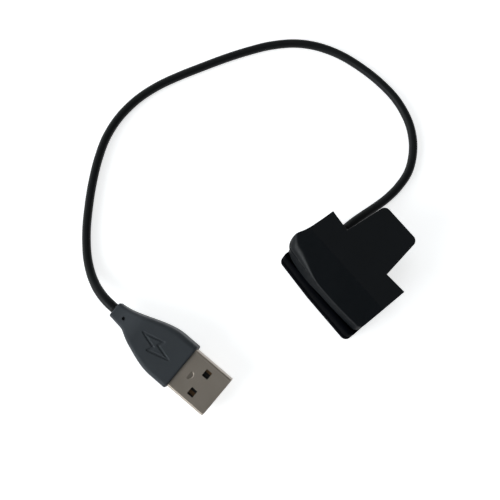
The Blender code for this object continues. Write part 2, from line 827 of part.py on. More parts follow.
def grip_half_width(x):
    """The grip's S-shaped flank, from a slim neck to the shell's full width."""
    return NECK_HALF_WIDTH + (GRIP_HALF_WIDTH - NECK_HALF_WIDTH) * eased(x / GRIP_FLARE)


def plug_overmould(frame):
    sections = []
    stations = [0.0, 0.25, 1.5, 3, 5, 7, 9, 11, 13, 15, 17.5, 20, 22, 23.0, 23.5]
    for station in stations:
        x = station * MM
        half = grip_half_width(x)
        height = NECK_HALF_HEIGHT + (GRIP_HALF_HEIGHT - NECK_HALF_HEIGHT) * eased(x / (9 * MM))
        shrink = {0.0: 0.25 * MM, 23.0: 0.08 * MM, 23.5: 0.5 * MM}.get(station, 0.0)
        corner = min(GRIP_CORNER, height * 0.55)
        sections.append((x, ring(half - shrink, height - shrink, corner, 4)))
    grip = loft("plug_overmould", sections, GRIP_PLASTIC, frame)
    around_shell = ring(
        SHELL_WIDTH / 2 + CAVITY_GAP, SHELL_HEIGHT / 2 + CAVITY_GAP, SHELL_CORNER + CAVITY_GAP
    )
    cavity = loft(
        "grip_cavity",
        [
            (CAVITY_START, ring(3.2 * MM, 2.3 * MM, 0.6 * MM)),
            (15.6 * MM, around_shell),
            (25 * MM, around_shell),
        ],
        parent=frame,
    )
    bore = rod("neck_bore", (-2 * MM, 0, 0), (CAVITY_START + MM, 0, 0), NECK_BORE, parent=frame)
    gate_x, gate_y = 3.7 * MM, -0.15 * MM
    gate_mark = rod(
        "gate_mark", (gate_x, gate_y, 1.2 * MM), (gate_x, gate_y, 6 * MM), 0.45 * MM, parent=frame
    )
    cut(grip, cavity, bore, gate_mark)


def plug_shell(frame):
    start = SHELL_END - SHELL_LENGTH
    half_w, half_h = SHELL_WIDTH / 2, SHELL_HEIGHT / 2
    outer = ring(half_w, half_h, SHELL_CORNER)
    inner = ring(half_w - SHELL_WALL, half_h - SHELL_WALL, SHELL_CORNER - SHELL_WALL)
    shell = loft("plug_shell", [(start, outer), (SHELL_END, outer)], NICKEL, frame)
    hollow = loft("shell_hollow", [(start - MM, inner), (SHELL_END + MM, inner)], parent=frame)
    cut(shell, hollow)
    x = SHELL_END - WINDOW_BACK
    for side in (-1, 1):
        y = WINDOW_SIDE * side
        window = box(
            f"window_{side}",
            (x - WINDOW_LENGTH / 2, y - WINDOW_WIDTH / 2, -4 * MM),
            (x + WINDOW_LENGTH / 2, y + WINDOW_WIDTH / 2, 4 * MM),
            parent=frame,
        )
        cut(shell, window)


def plug_insulator(frame):
    """The plug's plastic core: a block that fills the shell's rear and a tongue for the contacts."""
    half = SHELL_WIDTH / 2 - SHELL_WALL - 0.15 * MM
    top = SHELL_HEIGHT / 2 - SHELL_WALL - 0.15 * MM
    start = SHELL_END - SHELL_LENGTH + 0.4 * MM
    step = SHELL_END - 9.2 * MM
    side = [
        (start, -top),
        (SHELL_END - 0.5 * MM, -top),
        (SHELL_END - 0.5 * MM, -0.55 * MM),
        (SHELL_END - 0.95 * MM, -0.1 * MM),
        (step, -0.1 * MM),
        (step, top),
        (start, top),
    ]
    mesh = flat_mesh("plug_insulator", [(x, z) for x, z in side], -half, half)
    # The section was drawn in (x, y); it is stood up so that its height runs along Z.
    mesh.transform(Matrix.Rotation(math.radians(90), 4, "X"))
    core = piece("plug_insulator", mesh, INNER_PLASTIC, frame)
    soften(core, 0.12 * MM)
    for k, (y, _) in enumerate(CONTACTS):
        slot = box(
            f"contact_slot_{k + 1}",
            (start - MM, y - 0.65 * MM, -0.35 * MM),
            (step + 0.4 * MM, y + 0.65 * MM, 0.6 * MM),
            parent=frame,
        )
        groove = box(
            f"contact_groove_{k + 1}",
            (step, y - 0.65 * MM, -0.35 * MM),
            (SHELL_END - 0.85 * MM, y + 0.65 * MM, 0.6 * MM),
            parent=frame,
        )
        cut(core, slot, groove)


def plug_contacts(frame):
    for k, (y, back) in enumerate(CONTACTS):
        contact = box(
            f"plug_contact_{k + 1}",
            (SHELL_END - SHELL_LENGTH - 0.7 * MM, y - 0.5 * MM, -0.2 * MM),
            (SHELL_END - 0.95 * MM - back, y + 0.5 * MM, 0.05 * MM),
            GOLD,
            frame,
        )
        soften(contact, 0.06 * MM)


def plug_inner_mould(frame):
    """A core behind the shell that holds the wires in open channels."""
    mould = loft(
        "plug_inner_mould",
        [
            (CAVITY_START + 0.4 * MM, ring(3.0 * MM, 1.9 * MM, 0.5 * MM)),
            (15.2 * MM, ring(4.9 * MM, 2.1 * MM, 0.5 * MM)),
            (15.5 * MM, ring(4.9 * MM, 2.1 * MM, 0.5 * MM)),
        ],
        NATURAL_PLASTIC,
        frame,
    )
    channel = box(
        "wire_channel",
        (CAVITY_START - MM, -4.2 * MM, -0.75 * MM),
        (17 * MM, 4.2 * MM, 3 * MM),
        parent=frame,
    )
    cut(mould, channel)


def plug_wires(frame):
    """Three wires through the neck, spread to the power, data and ground contacts."""
    spread_start = CAVITY_START + 0.1 * MM
    spread = 3.6 * MM
    steps = 10
    places = [(210, CONTACTS[0][0]), (90, CONTACTS[2][0]), (330, CONTACTS[3][0])]
    for k, (angle, target) in enumerate(places):
        y0 = WIRE_TRIANGLE * math.cos(math.radians(angle))
        z0 = WIRE_TRIANGLE * math.sin(math.radians(angle))
        points = [(0.3 * MM, y0, z0), (6 * MM, y0, z0)]
        for step in range(steps + 1):
            share = eased(step / steps)
            x = spread_start + spread * step / steps
            points.append((x, y0 + (target - y0) * share, z0 * (1 - share)))
        points.append((15.7 * MM, target, 0.0))
        tube(f"plug_wire_{k + 1}", points, PLUG_WIRE_RADIUS, WIRE_COLORS[k], frame)


upper_jaw_shell()
jaw_liner()
jaw_pad()
base_lower_shell()
base_seat_cover()
clip_circuit_board()
contact_pins()
hinge_pin()
torsion_spring()
cable_gland()
clip_wires()
cable_jacket()
plug = plug_frame()
plug_overmould(plug)
plug_shell(plug)
plug_insulator(plug)
plug_contacts(plug)
plug_inner_mould(plug)
plug_wires(plug)
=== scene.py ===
# %% [markdown]
# # The looks of a tracker's charging cable
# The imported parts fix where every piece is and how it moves. This lesson gives them their looks: a
# black sprung clip, a short cable in one open loop and a flat plug with a nickel shell. Each step
# says what the real piece is, how it could be made in Blender, and why this way was chosen.

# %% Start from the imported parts
import math
import bmesh
import bpy
import numpy as np
from mathutils import Matrix, Vector


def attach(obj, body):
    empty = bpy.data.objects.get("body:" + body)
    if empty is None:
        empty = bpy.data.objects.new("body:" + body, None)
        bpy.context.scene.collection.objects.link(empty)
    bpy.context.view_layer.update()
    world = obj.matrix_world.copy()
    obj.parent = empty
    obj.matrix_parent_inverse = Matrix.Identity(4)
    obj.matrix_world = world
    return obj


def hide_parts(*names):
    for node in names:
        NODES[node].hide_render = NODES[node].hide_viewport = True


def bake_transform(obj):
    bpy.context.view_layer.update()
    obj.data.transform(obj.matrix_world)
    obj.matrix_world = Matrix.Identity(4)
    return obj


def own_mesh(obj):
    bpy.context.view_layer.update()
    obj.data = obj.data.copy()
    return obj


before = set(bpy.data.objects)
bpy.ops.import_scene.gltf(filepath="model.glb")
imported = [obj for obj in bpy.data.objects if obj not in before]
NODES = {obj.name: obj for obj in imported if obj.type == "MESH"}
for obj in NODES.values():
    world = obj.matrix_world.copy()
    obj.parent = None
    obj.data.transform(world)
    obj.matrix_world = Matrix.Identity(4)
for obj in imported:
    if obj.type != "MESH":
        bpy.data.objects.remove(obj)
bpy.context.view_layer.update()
MM = 0.001

# %% [markdown]
# ## Camera
# The camera hangs almost straight above the table and leans a little, so that the front of the
# clip's jaws just shows. A lens of about 60 mm keeps the perspective mild, as in a product picture.
# A camera object that is turned about Z and then tilted needs no target or constraint.

# %% Camera
CAMERA_TURN = math.radians(49.2)
CAMERA_TILT = math.radians(10)
CAMERA_DISTANCE = 230 * MM
CAMERA_LENS = 60.9
AIM = Vector((-21.9, -17.6, 0.0)) * MM

camera_data = bpy.data.cameras.new("camera")
camera_data.lens = CAMERA_LENS
camera_data.sensor_width = 36
camera_data.clip_start = 0.01
camera_data.clip_end = 20
camera = bpy.data.objects.new("camera", camera_data)
bpy.context.scene.collection.objects.link(camera)
camera.rotation_euler = (CAMERA_TILT, 0, CAMERA_TURN)
turned = camera.rotation_euler.to_matrix()
camera.location = AIM + turned @ Vector((0, 0, CAMERA_DISTANCE))
bpy.context.scene.camera = camera
print("camera at", camera.location)

# %% [markdown]
# ## Light
# Black plastic shows little of its own colour: what the eye sees is the room mirrored in it. Area
# lamps could make that room, but each would add a hard-edged mirror image. Here the World itself is
# painted: dim overhead, with a bright band low round the horizon that is strongest on the left. One
# small patch on the left acts as a soft box and draws the thin highlights along edges and cable. A
# faint wide patch near the zenith lifts the flat tops.

# %% Room light: directions
ROOM_LIGHT = 0.13
BAND_LIGHT = 1.75
BAND_TOP = 38


def toward(turn, height):
    """A direction: turn in degrees from the camera's right, height in degrees above the table."""
    flat = turned @ Vector((math.cos(math.radians(turn)), math.sin(math.radians(turn)), 0))
    flat.z = 0
    flat.normalize()
    rise = math.radians(height)
    return flat * math.cos(rise) + Vector((0, 0, math.sin(rise)))


# %% Room light: the World's nodes
world = bpy.data.worlds.new("room")
world.use_nodes = True
room = world.node_tree
gaze = room.nodes.new("ShaderNodeTexCoord").outputs["Generated"]


def glow(aim, start, end, strength, floor=0.0):
    """Light that rises from floor to strength as the gaze nears aim, from start to end degrees off."""
    nearness = room.nodes.new("ShaderNodeVectorMath")
    nearness.operation = "DOT_PRODUCT"
    nearness.inputs[1].default_value = aim
    room.links.new(gaze, nearness.inputs[0])
    rise = room.nodes.new("ShaderNodeMapRange")
    rise.interpolation_type = "SMOOTHSTEP"
    rise.inputs["From Min"].default_value = math.cos(math.radians(start))
    rise.inputs["From Max"].default_value = math.cos(math.radians(end))
    rise.inputs["To Min"].default_value = floor
    rise.inputs["To Max"].default_value = strength
    room.links.new(nearness.outputs["Value"], rise.inputs["Value"])
    return rise.outputs["Result"]


def combined(operation, first, second):
    """Adds or multiplies two lights."""
    node = room.nodes.new("ShaderNodeMath")
    node.operation = operation
    room.links.new(first, node.inputs[0])
    room.links.new(second, node.inputs[1])
    return node.outputs["Value"]


# %% Room light: band, soft box and zenith
band = glow((0, 0, 1), 104 - BAND_TOP, 90 - BAND_TOP, ROOM_LIGHT, BAND_LIGHT)
stronger_left = glow(toward(170, 0), 95, 40, 1.3, 0.2)
soft_box = glow(toward(205, 30), 20, 9, 5.5)
zenith = glow(toward(55, 78), 38, 12, 0.62)
light = combined("MULTIPLY", band, stronger_left)
light = combined("ADD", light, soft_box)
light = combined("ADD", light, zenith)
room.nodes["Background"].inputs["Color"].default_value = (0.93, 0.98, 1, 1)
room.links.new(light, room.nodes["Background"].inputs["Strength"])
bpy.context.scene.world = world
bpy.context.scene.view_settings.view_transform = "Standard"
print("room nodes:", len(room.nodes))

# %% [markdown]
# ## Helpers for finishes
# A finish is a Principled shader with a little life in it: fine grain in the surface, a slow change
# in gloss, a slow change in colour. All of it reads Object coordinates, so that it is in metres and
# stays on the piece. Constant values are set on the shader itself.

# %% Patterns for finishes
def noise(tree, coordinates, scale, detail=3.0):
    """A noise pattern; scale is in patches per metre."""
    node = tree.nodes.new("ShaderNodeTexNoise")
    node.inputs["Scale"].default_value = scale
    node.inputs["Detail"].default_value = detail
    tree.links.new(coordinates, node.inputs["Vector"])
    return node.outputs["Fac"]


def spread(tree, value, low, high, start=0.3, end=0.7):
    """Maps a pattern's middle range to values from low to high."""
    node = tree.nodes.new("ShaderNodeMapRange")
    node.inputs["From Min"].default_value = start
    node.inputs["From Max"].default_value = end
    node.inputs["To Min"].default_value = low
    node.inputs["To Max"].default_value = high
    tree.links.new(value, node.inputs["Value"])
    return node.outputs["Result"]


def bump(tree, height, depth, strength):
    """Raises the surface by the height pattern, depth metres at most."""
    node = tree.nodes.new("ShaderNodeBump")
    node.inputs["Strength"].default_value = strength
    node.inputs["Distance"].default_value = depth
    tree.links.new(height, node.inputs["Height"])
    return node.outputs["Normal"]


def mix_colors(tree, factor, first, second):
    """Goes from the first colour to the second as the factor rises."""
    node = tree.nodes.new("ShaderNodeMix")
    node.data_type = "RGBA"
    node.inputs["A"].default_value = (*first, 1)
    node.inputs["B"].default_value = (*second, 1)
    tree.links.new(factor, node.inputs["Factor"])
    return node.outputs["Result"]


# %% One finish
SLOW_PATCHES = 140
GLOSS_PATCHES = 900


def surface(name, dark, light, gloss, grain, metallic=0.0, specular=0.5, stretch=(1, 1, 1), ior=1.5):
    """A finish from its two colours, its range of roughness and its grain (size, depth, strength)."""
    made = bpy.data.materials.new(name)
    made.use_nodes = True
    tree = made.node_tree
    shader = tree.nodes["Principled BSDF"]
    shader.inputs["Metallic"].default_value = metallic
    shader.inputs["Specular IOR Level"].default_value = specular
    shader.inputs["IOR"].default_value = ior
    place = tree.nodes.new("ShaderNodeTexCoord").outputs["Object"]
    mapping = tree.nodes.new("ShaderNodeMapping")
    mapping.inputs["Scale"].default_value = stretch
    tree.links.new(place, mapping.inputs["Vector"])
    along = mapping.outputs["Vector"]
    size, depth, strength = grain
    slow = noise(tree, place, SLOW_PATCHES, 2)
    tree.links.new(mix_colors(tree, spread(tree, slow, 0, 1), dark, light), shader.inputs["Base Color"])
    cloudy = noise(tree, place, GLOSS_PATCHES, 4)
    tree.links.new(spread(tree, cloudy, *gloss), shader.inputs["Roughness"])
    fine = noise(tree, along, 1 / size, 2)
    tree.links.new(bump(tree, fine, depth, strength), shader.inputs["Normal"])
    return made


# %% [markdown]
# ## The finishes of this cable
# The clip is moulded in black with a fine spark texture. Its front wall is a copy of that plastic
# that mirrors less, and the lower jaw a darker copy that mirrors almost nothing: both are painted
# shade. The plug's grip is a softer, bluer black. The cable's jacket is smoother and takes a long
# highlight. The shell is nickel on steel, slightly warm, with fine drawing lines along it. A black
# needs a very low specular level as well as a dark colour, or the bright table turns it grey.

# %% The finishes: plastics
CASE = surface("case_plastic", (0.0019, 0.0029, 0.004), (0.0026, 0.0037, 0.005), (0.3, 0.36),
               (0.00016, 0.00001, 0.4), specular=0.14)
# Painted shade: the lower jaw's plastic is a darker copy of the case plastic with almost no specular, so it
# stays black as if in shade.
LIP_PAINTED_SHADE = surface("lip_painted_shade", (0.001, 0.0013, 0.0021), (0.0015, 0.0018, 0.0027), (0.4, 0.48),
              (0.00016, 0.00001, 0.4), specular=0.003)
# Painted shade: the case plastic with far less specular, for the upper jaw's front wall, so it mirrors less
# as if in shade.
FRONT_PAINTED_SHADE = surface("front_painted_shade", (0.0019, 0.0029, 0.004), (0.0026, 0.0037, 0.005), (0.4, 0.48),
                (0.00016, 0.00001, 0.4), specular=0.013)
GRIP = surface("grip_overmould", (0.037, 0.0415, 0.047), (0.041, 0.046, 0.052), (0.5, 0.58),
               (0.00012, 0.00001, 0.5), specular=0.25, ior=1.4)
INNER = surface("inner_plastic", (0.008, 0.008, 0.009), (0.011, 0.011, 0.012), (0.45, 0.55),
                (0.0002, 0.000006, 0.3), specular=0.4)
NATURAL = surface("natural_plastic", (0.55, 0.52, 0.46), (0.64, 0.62, 0.56), (0.4, 0.5),
                  (0.0003, 0.000006, 0.3))
RUBBER = surface("pad_rubber", (0.016, 0.016, 0.017), (0.022, 0.022, 0.023), (0.75, 0.85),
                 (0.0001, 0.000008, 0.6), specular=0.3)
JACKET = surface("cable_jacket", (0.004, 0.0048, 0.0052), (0.0055, 0.0064, 0.007), (0.42, 0.5),
                 (0.00022, 0.000008, 0.35), specular=0.16)
print("kinds of case plastic:", CASE.name, LIP_PAINTED_SHADE.name, FRONT_PAINTED_SHADE.name)

# %% The finishes: metals and the rest
NICKEL = surface("nickel_plate", (0.33, 0.286, 0.243), (0.365, 0.315, 0.268), (0.36, 0.41),
                 (0.0001, 0.000002, 0.15), metallic=1.0, stretch=(0.05, 1, 1))
STEEL = surface("spring_steel", (0.5, 0.5, 0.5), (0.6, 0.6, 0.6), (0.22, 0.32),
                (0.00008, 0.000003, 0.4), metallic=1.0)
GOLD = surface("gold_plate", (0.74, 0.52, 0.2), (0.84, 0.62, 0.28), (0.18, 0.28),
               (0.0001, 0.000003, 0.3), metallic=1.0)
# Painted shade: a darkened gold for the plug's contacts, which lie in shade inside the shell.
GOLD_PAINTED_SHADE = surface("contact_painted_shade", (0.13, 0.08, 0.045), (0.17, 0.105, 0.06), (0.3, 0.4),
                    (0.0001, 0.000003, 0.3), metallic=1.0)
BOARD = surface("board_laminate", (0.01, 0.1, 0.045), (0.016, 0.14, 0.06), (0.25, 0.35),
                (0.0004, 0.00001, 0.4))
WIRE_FINISHES = [
    surface(f"{name}_insulation", dark, light, (0.35, 0.45), (0.0003, 0.000006, 0.3))
    for name, dark, light in (
        ("red", (0.36, 0.012, 0.012), (0.44, 0.02, 0.018)),
        ("black", (0.012, 0.012, 0.012), (0.02, 0.02, 0.02)),
        ("green", (0.012, 0.2, 0.05), (0.02, 0.26, 0.07)),
    )
]
print("finishes:", len(bpy.data.materials))

# %% [markdown]
# ## Helpers for shapes
# Pieces are drawn in millimetres, where numbers are easy to read, and made metres once, at the end.
# A Boolean is carried out at once, so that the final mesh can have its smooth and sharp edges set.

# %% From a bmesh to an object
def as_object(name, bm):
    """A working object, in millimetres, with its faces turned outwards."""
    bmesh.ops.remove_doubles(bm, verts=bm.verts, dist=0.0005)
    bmesh.ops.recalc_face_normals(bm, faces=bm.faces)
    mesh = bpy.data.meshes.new(name)
    bm.to_mesh(mesh)
    bm.free()
    obj = bpy.data.objects.new(name, mesh)
    bpy.context.scene.collection.objects.link(obj)
    return obj


def carry_out(obj):
    """Makes the object's modifiers permanent."""
    graph = bpy.context.evaluated_depsgraph_get()
    mesh = bpy.data.meshes.new_from_object(obj.evaluated_get(graph))
    obj.modifiers.clear()
    obj.data = mesh


def cut(obj, other, operation="DIFFERENCE"):
    """A Boolean that uses the other object up."""
    modifier = obj.modifiers.new("cut", "BOOLEAN")
    modifier.operation = operation
    modifier.object = other
    carry_out(obj)
    bpy.data.objects.remove(other)


def soften(obj, width, angle=40, segments=3):
    """Rounds the edges that are sharper than the angle."""
    modifier = obj.modifiers.new("soften", "BEVEL")
    modifier.width = width
    modifier.segments = segments
    modifier.limit_method = "ANGLE"
    modifier.angle_limit = math.radians(angle)
    carry_out(obj)


# %% Handing a piece in
def finish_piece(obj, finish, body, slot, *nodes, place=None, sharp=40, flat_over=1e9):
    """Makes millimetres metres, gives the finish and hands the piece to its body.

    A face of more than flat_over square millimetres is shaded flat, so that the rounding beside it
    doesn't tint it.
    """
    flats = [p.index for p in obj.data.polygons if p.area > flat_over]
    obj.data.transform(Matrix.Scale(MM, 4))
    if place:
        obj.data.transform(place)
    obj.data.materials.clear()
    obj.data.materials.append(finish)
    obj.data.shade_smooth()
    obj.data.set_sharp_from_angle(angle=math.radians(sharp))
    for index in flats:
        obj.data.polygons[index].use_smooth = False
    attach(obj, body)
    if nodes:
        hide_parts(*nodes)
    print(obj.name, len(obj.data.polygons), "faces")
    return obj


# %% Prisms, blocks and bars
def prism(name, outline, low, high, along="Z"):
    """A closed outline, (x, y) or (y, z), carried from low to high along Z or X."""
    bm = bmesh.new()
    if along == "Z":
        ring = [bm.verts.new((u, v, low)) for u, v in outline]
        way = (0, 0, high - low)
    else:
        ring = [bm.verts.new((low, u, v)) for u, v in outline]
        way = (high - low, 0, 0)
    base = bm.faces.new(ring)
    top = bmesh.ops.extrude_face_region(bm, geom=[base])["geom"]
    bmesh.ops.translate(bm, vec=way, verts=[g for g in top if isinstance(g, bmesh.types.BMVert)])
    return as_object(name, bm)


def block(name, low, high, round_edges=0.0):
    """A box between two corners."""
    bm = bmesh.new()
    bmesh.ops.create_cube(bm, size=1)
    bmesh.ops.scale(bm, vec=[b - a for a, b in zip(low, high)], verts=bm.verts)
    bmesh.ops.translate(bm, vec=[(a + b) / 2 for a, b in zip(low, high)], verts=bm.verts)
    if round_edges:
        bmesh.ops.bevel(
            bm, geom=bm.edges[:], offset=round_edges, segments=3, profile=0.5, affect="EDGES", material=-1
        )
    return as_object(name, bm)


def bar(name, start, end, radius, sides=48):
    """A round bar between two points."""
    start, end = Vector(start), Vector(end)
    turn = (end - start).to_track_quat("Z", "Y").to_matrix().to_4x4()
    bm = bmesh.new()
    bmesh.ops.create_cone(
        bm, cap_ends=True, segments=sides, radius1=radius, radius2=radius,
        depth=(end - start).length, matrix=Matrix.Translation((start + end) / 2) @ turn,
    )
    return as_object(name, bm)


# %% Turned pieces and rounded outlines
def lathe(name, profile, steps=64):
    """A profile of (radius, height) points, spun round Z."""
    bm = bmesh.new()
    points = [bm.verts.new((radius, 0, height)) for radius, height in profile]
    edges = [bm.edges.new(pair) for pair in zip(points, points[1:])]
    bmesh.ops.spin(
        bm, geom=points + edges, cent=(0, 0, 0), axis=(0, 0, 1), angle=math.tau, steps=steps,
        use_merge=True, use_duplicate=False,
    )
    return as_object(name, bm)


def rounded(corners, steps=8):
    """The outline through (u, v, radius) corners, with an arc at each one that has a radius."""
    points = []
    for i, (u, v, radius) in enumerate(corners):
        corner = Vector((u, v))
        if not radius:
            points.append((u, v))
            continue
        before = (Vector(corners[i - 1][:2]) - corner).normalized()
        after = (Vector(corners[(i + 1) % len(corners)][:2]) - corner).normalized()
        half = before.angle(after) / 2
        middle = corner + (before + after).normalized() * radius / math.sin(half)
        first = before * radius / math.tan(half) + corner - middle
        last = after * radius / math.tan(half) + corner - middle
        start = math.atan2(first.y, first.x)
        sweep = (math.atan2(last.y, last.x) - start + math.pi) % math.tau - math.pi
        for k in range(steps + 1):
            angle = start + sweep * k / steps
            points.append((middle.x + radius * math.cos(angle), middle.y + radius * math.sin(angle)))
    return points


# %% Lofts and wires
def lofted(name, rings, closed=False):
    """A skin through rings of 3D points, made from one grid; closed joins the last to the first."""
    rings = rings + rings[:1] if closed else rings
    across, up = len(rings[0]), len(rings) - 1
    bm = bmesh.new()
    bmesh.ops.create_grid(bm, x_segments=across, y_segments=up, size=1)
    for vert in bm.verts:
        i = round((vert.co.x + 1) / 2 * across) % across
        j = round((vert.co.y + 1) / 2 * up)
        vert.co = rings[j][i]
    bmesh.ops.remove_doubles(bm, verts=bm.verts, dist=0.0005)
    bmesh.ops.holes_fill(bm, edges=[e for e in bm.edges if e.is_boundary], sides=0)
    return as_object(name, bm)


def wire(name, points, radius, sides=12):
    """A round wire along points, with a ring of points round each one."""
    places = [Vector(p) for p in points]
    up = Vector((0, 0, 1))
    rings = []
    for k, here in enumerate(places):
        way = (places[min(k + 1, len(places) - 1)] - places[max(k - 1, 0)]).normalized()
        side = way.cross(up)
        if side.length < 0.1:
            side = way.cross(Vector((1, 0, 0)))
        side.normalize()
        up = side.cross(way).normalized()
        angles = [math.tau * a / sides for a in range(sides)]
        rings.append([here + (side * math.cos(a) + up * math.sin(a)) * radius for a in angles])
    return lofted(name, rings)


def smooth(share):
    """Eases a share from 0 to 1, flat at both ends."""
    share = np.clip(share, 0.0, 1.0)
    return share * share * (3 - 2 * share)


# %% [markdown]
# ## The table
# A single square, far larger than the view, so that its edges never show. It is pale and glows a
# little by itself, which keeps it white and leaves only faint shadows.

# %% Table
TABLE_GLOW = 0.68
TABLE_HALF = 2500
bm = bmesh.new()
bmesh.ops.create_grid(bm, x_segments=1, y_segments=1, size=TABLE_HALF)
table = as_object("table", bm)
table.data.transform(Matrix.Scale(MM, 4))
white = surface("white_table", (0.84, 0.84, 0.84), (0.86, 0.86, 0.86), (0.8, 0.9), (0.002, 0.00001, 0.1),
                specular=0.1)
white_shader = white.node_tree.nodes["Principled BSDF"]
white_shader.inputs["Emission Color"].default_value = (1, 1, 1, 1)
white_shader.inputs["Emission Strength"].default_value = TABLE_GLOW
table.data.materials.append(white)
print("table:", 2 * TABLE_HALF, "mm square")

# %% [markdown]
# ## Cable
# The cable is all there, from the clip to the plug, about 19 cm of flexible cord 2.4 mm thick. It is
# drawn as one curve through the points that it lies on, with the same smooth route as its solid, and
# a round bevel. A tube mesh would look the same, but a curve keeps its own centre line, which is how
# its length is measured. Towards the plug the jacket grows a little thicker.

# %% Cable: route
CABLE_RADIUS = 1.19
CABLE_ROUTE_MM = [
    (-9.2, 5.7, 2.45),
    (-9.15, 8.5, 2.1),
    (-8.85, 12.0, 1.5),
    (-8.4, 16.0, 1.2),
    (-8.15, 20.0, 1.2),
    (-8.45, 24.4, 1.2),
    (-9.7, 29.2, 1.2),
    (-12.3, 33.3, 1.2),
    (-16.0, 36.8, 1.2),
    (-21.0, 39.5, 1.2),
    (-27.4, 41.0, 1.2),
    (-34.1, 40.95, 1.2),
    (-40.8, 39.9, 1.2),
    (-47.3, 38.0, 1.2),
    (-53.3, 34.9, 1.2),
    (-58.3, 30.6, 1.2),
    (-62.3, 25.0, 1.2),
    (-65.3, 18.9, 1.2),
    (-67.85, 12.6, 1.2),
    (-70.1, 6.1, 1.2),
    (-72.2, -0.3, 1.2),
    (-73.9, -6.9, 1.2),
    (-74.6, -13.7, 1.2),
    (-73.9, -20.6, 1.2),
    (-71.75, -27.05, 1.2),
    (-68.25, -32.9, 1.2),
    (-64.05, -38.3, 1.2),
    (-59.6, -43.2, 1.2),
    (-54.85, -47.8, 1.2),
    (-49.8, -51.7, 1.2),
    (-45.5, -54.0, 1.6),
    (-41.7, -55.2, 2.5),
    (-38.4, -55.65, 3.5),
    (-35.4, -55.6, 4.25),
    (-32.78, -55.28, 4.4),
]


def smooth_route(points, between=8):
    """A Catmull-Rom curve through the points."""
    knots = [Vector(p) for p in points]
    ends = [knots[0] * 2 - knots[1]] + knots + [knots[-1] * 2 - knots[-2]]
    fine = []
    for a, b, c, d in zip(ends, ends[1:], ends[2:], ends[3:]):
        for k in range(between):
            t = k / between
            start = b * 2 + (c - a) * t
            bend = (a * 2 - b * 5 + c * 4 - d) * t * t
            twist = (b * 3 - a - c * 3 + d) * t * t * t
            fine.append((start + bend + twist) / 2)
    return fine + [knots[-1]]


route = smooth_route(CABLE_ROUTE_MM)
print("points on the route:", len(route))

# %% Cable: curve
THICKER = 0.16
PLAIN_END, THICKER_BY = 44, 36
curve = bpy.data.curves.new("cable", "CURVE")
curve.dimensions = "3D"
curve.bevel_depth = CABLE_RADIUS * MM
curve.bevel_resolution = 7
curve.use_fill_caps = True
spline = curve.splines.new("POLY")
spline.points.add(len(route) - 1)
for k, (point, place) in enumerate(zip(spline.points, route)):
    point.co = (*(place * MM), 1)
    point.radius = 1 + THICKER * min(1, max(0, (k - len(route) + PLAIN_END) / THICKER_BY))
curve.materials.append(JACKET)
cable = bpy.data.objects.new("cable", curve)
bpy.context.scene.collection.objects.link(cable)
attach(cable, "base")
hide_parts("cable_jacket")

# %% [markdown]
# ## Upper jaw shell
# The upper lever is a moulded T: a head whose top slopes down to the jaw, and a finger tab behind
# the hinge. Its left front corner is wide and softly rounded, its right one is tight, and the edge
# between them has a radius that narrows from left to right. A bevel has one width, so the top is made
# as a fine grid instead: a plain grid is laid into the T, row by row, and each point gets its height
# from the roof's slope and from how near it is to the edge. The walls are extruded from the grid's
# rim, and lean out a little in front. The side profile and the hollow are then cut, as a milling
# cutter would.

# %% The T seen from above: sizes
HEAD_HALF = 13.65
HEAD_REAR = 3.6
HEAD_REAR_AT_TAB = 2.95
CREASE = -3.8
UPPER_FRONT = -11.9
UPPER_BOW = 0.75
BOW_MIDDLE = 1.0
FLARE_START = (-14.3, -2.6)
FLARE = 1.42
LEFT_CORNER = 2.65
RIGHT_FRONT = 13.35
RIGHT_CORNER = 1.5
TAB_BASE, TAB_TIP, TAB_END, TAB_CORNER = 7.25, 5.95, 14.75, 1.7
TAB_SHIFT = 0.2
TAB_LEFT = (0.4, 0.06)
print("head:", 2 * HEAD_HALF, "mm wide; tab's tip:", 2 * TAB_TIP, "mm wide")


# %% The T seen from above: sides
def left_flank(y):
    """The head's left side: straight from the rear, then flared, then round into the front."""
    turn = UPPER_FRONT + LEFT_CORNER
    start_x, start_y = FLARE_START
    if y >= start_y:
        return start_x + (-HEAD_HALF - start_x) * (y - start_y) / (HEAD_REAR - start_y)
    if y >= turn:
        t = (start_y - y) / (start_y - turn)
        return start_x - FLARE * (3 * t * t - 2 * t ** 3 + 0.5 * (t ** 3 - 2 * t * t + t))
    across = math.sqrt(max(0.0, LEFT_CORNER ** 2 - (turn - y) ** 2))
    return start_x - FLARE + LEFT_CORNER - across


def right_flank(y):
    """The head's right side: nearly straight, then round into the front."""
    turn = UPPER_FRONT + RIGHT_CORNER
    if y >= turn:
        return RIGHT_FRONT + (HEAD_HALF - RIGHT_FRONT) * (y - turn) / (HEAD_REAR - turn)
    return RIGHT_FRONT - RIGHT_CORNER + math.sqrt(max(0.0, RIGHT_CORNER ** 2 - (turn - y) ** 2))


def tab_half(y):
    """Half the width of the finger tab, whose end has round corners."""
    if y <= HEAD_REAR_AT_TAB:
        return TAB_BASE
    slope = (TAB_TIP - TAB_BASE) / (TAB_END - HEAD_REAR_AT_TAB)
    turn = TAB_END - TAB_CORNER
    if y <= turn:
        return TAB_BASE + slope * (y - HEAD_REAR_AT_TAB)
    straight = TAB_BASE + slope * (turn - HEAD_REAR_AT_TAB)
    return straight - TAB_CORNER + math.sqrt(max(0.0, TAB_CORNER ** 2 - (y - turn) ** 2))


def tab_left(y):
    """The tab's left side, which is a little wider at its root and narrower at its end."""
    share = min(1, max(0, (y - HEAD_REAR_AT_TAB) / (TAB_END - TAB_CORNER - HEAD_REAR_AT_TAB)))
    return tab_half(y) + TAB_LEFT[0] + (TAB_LEFT[1] - TAB_LEFT[0]) * share


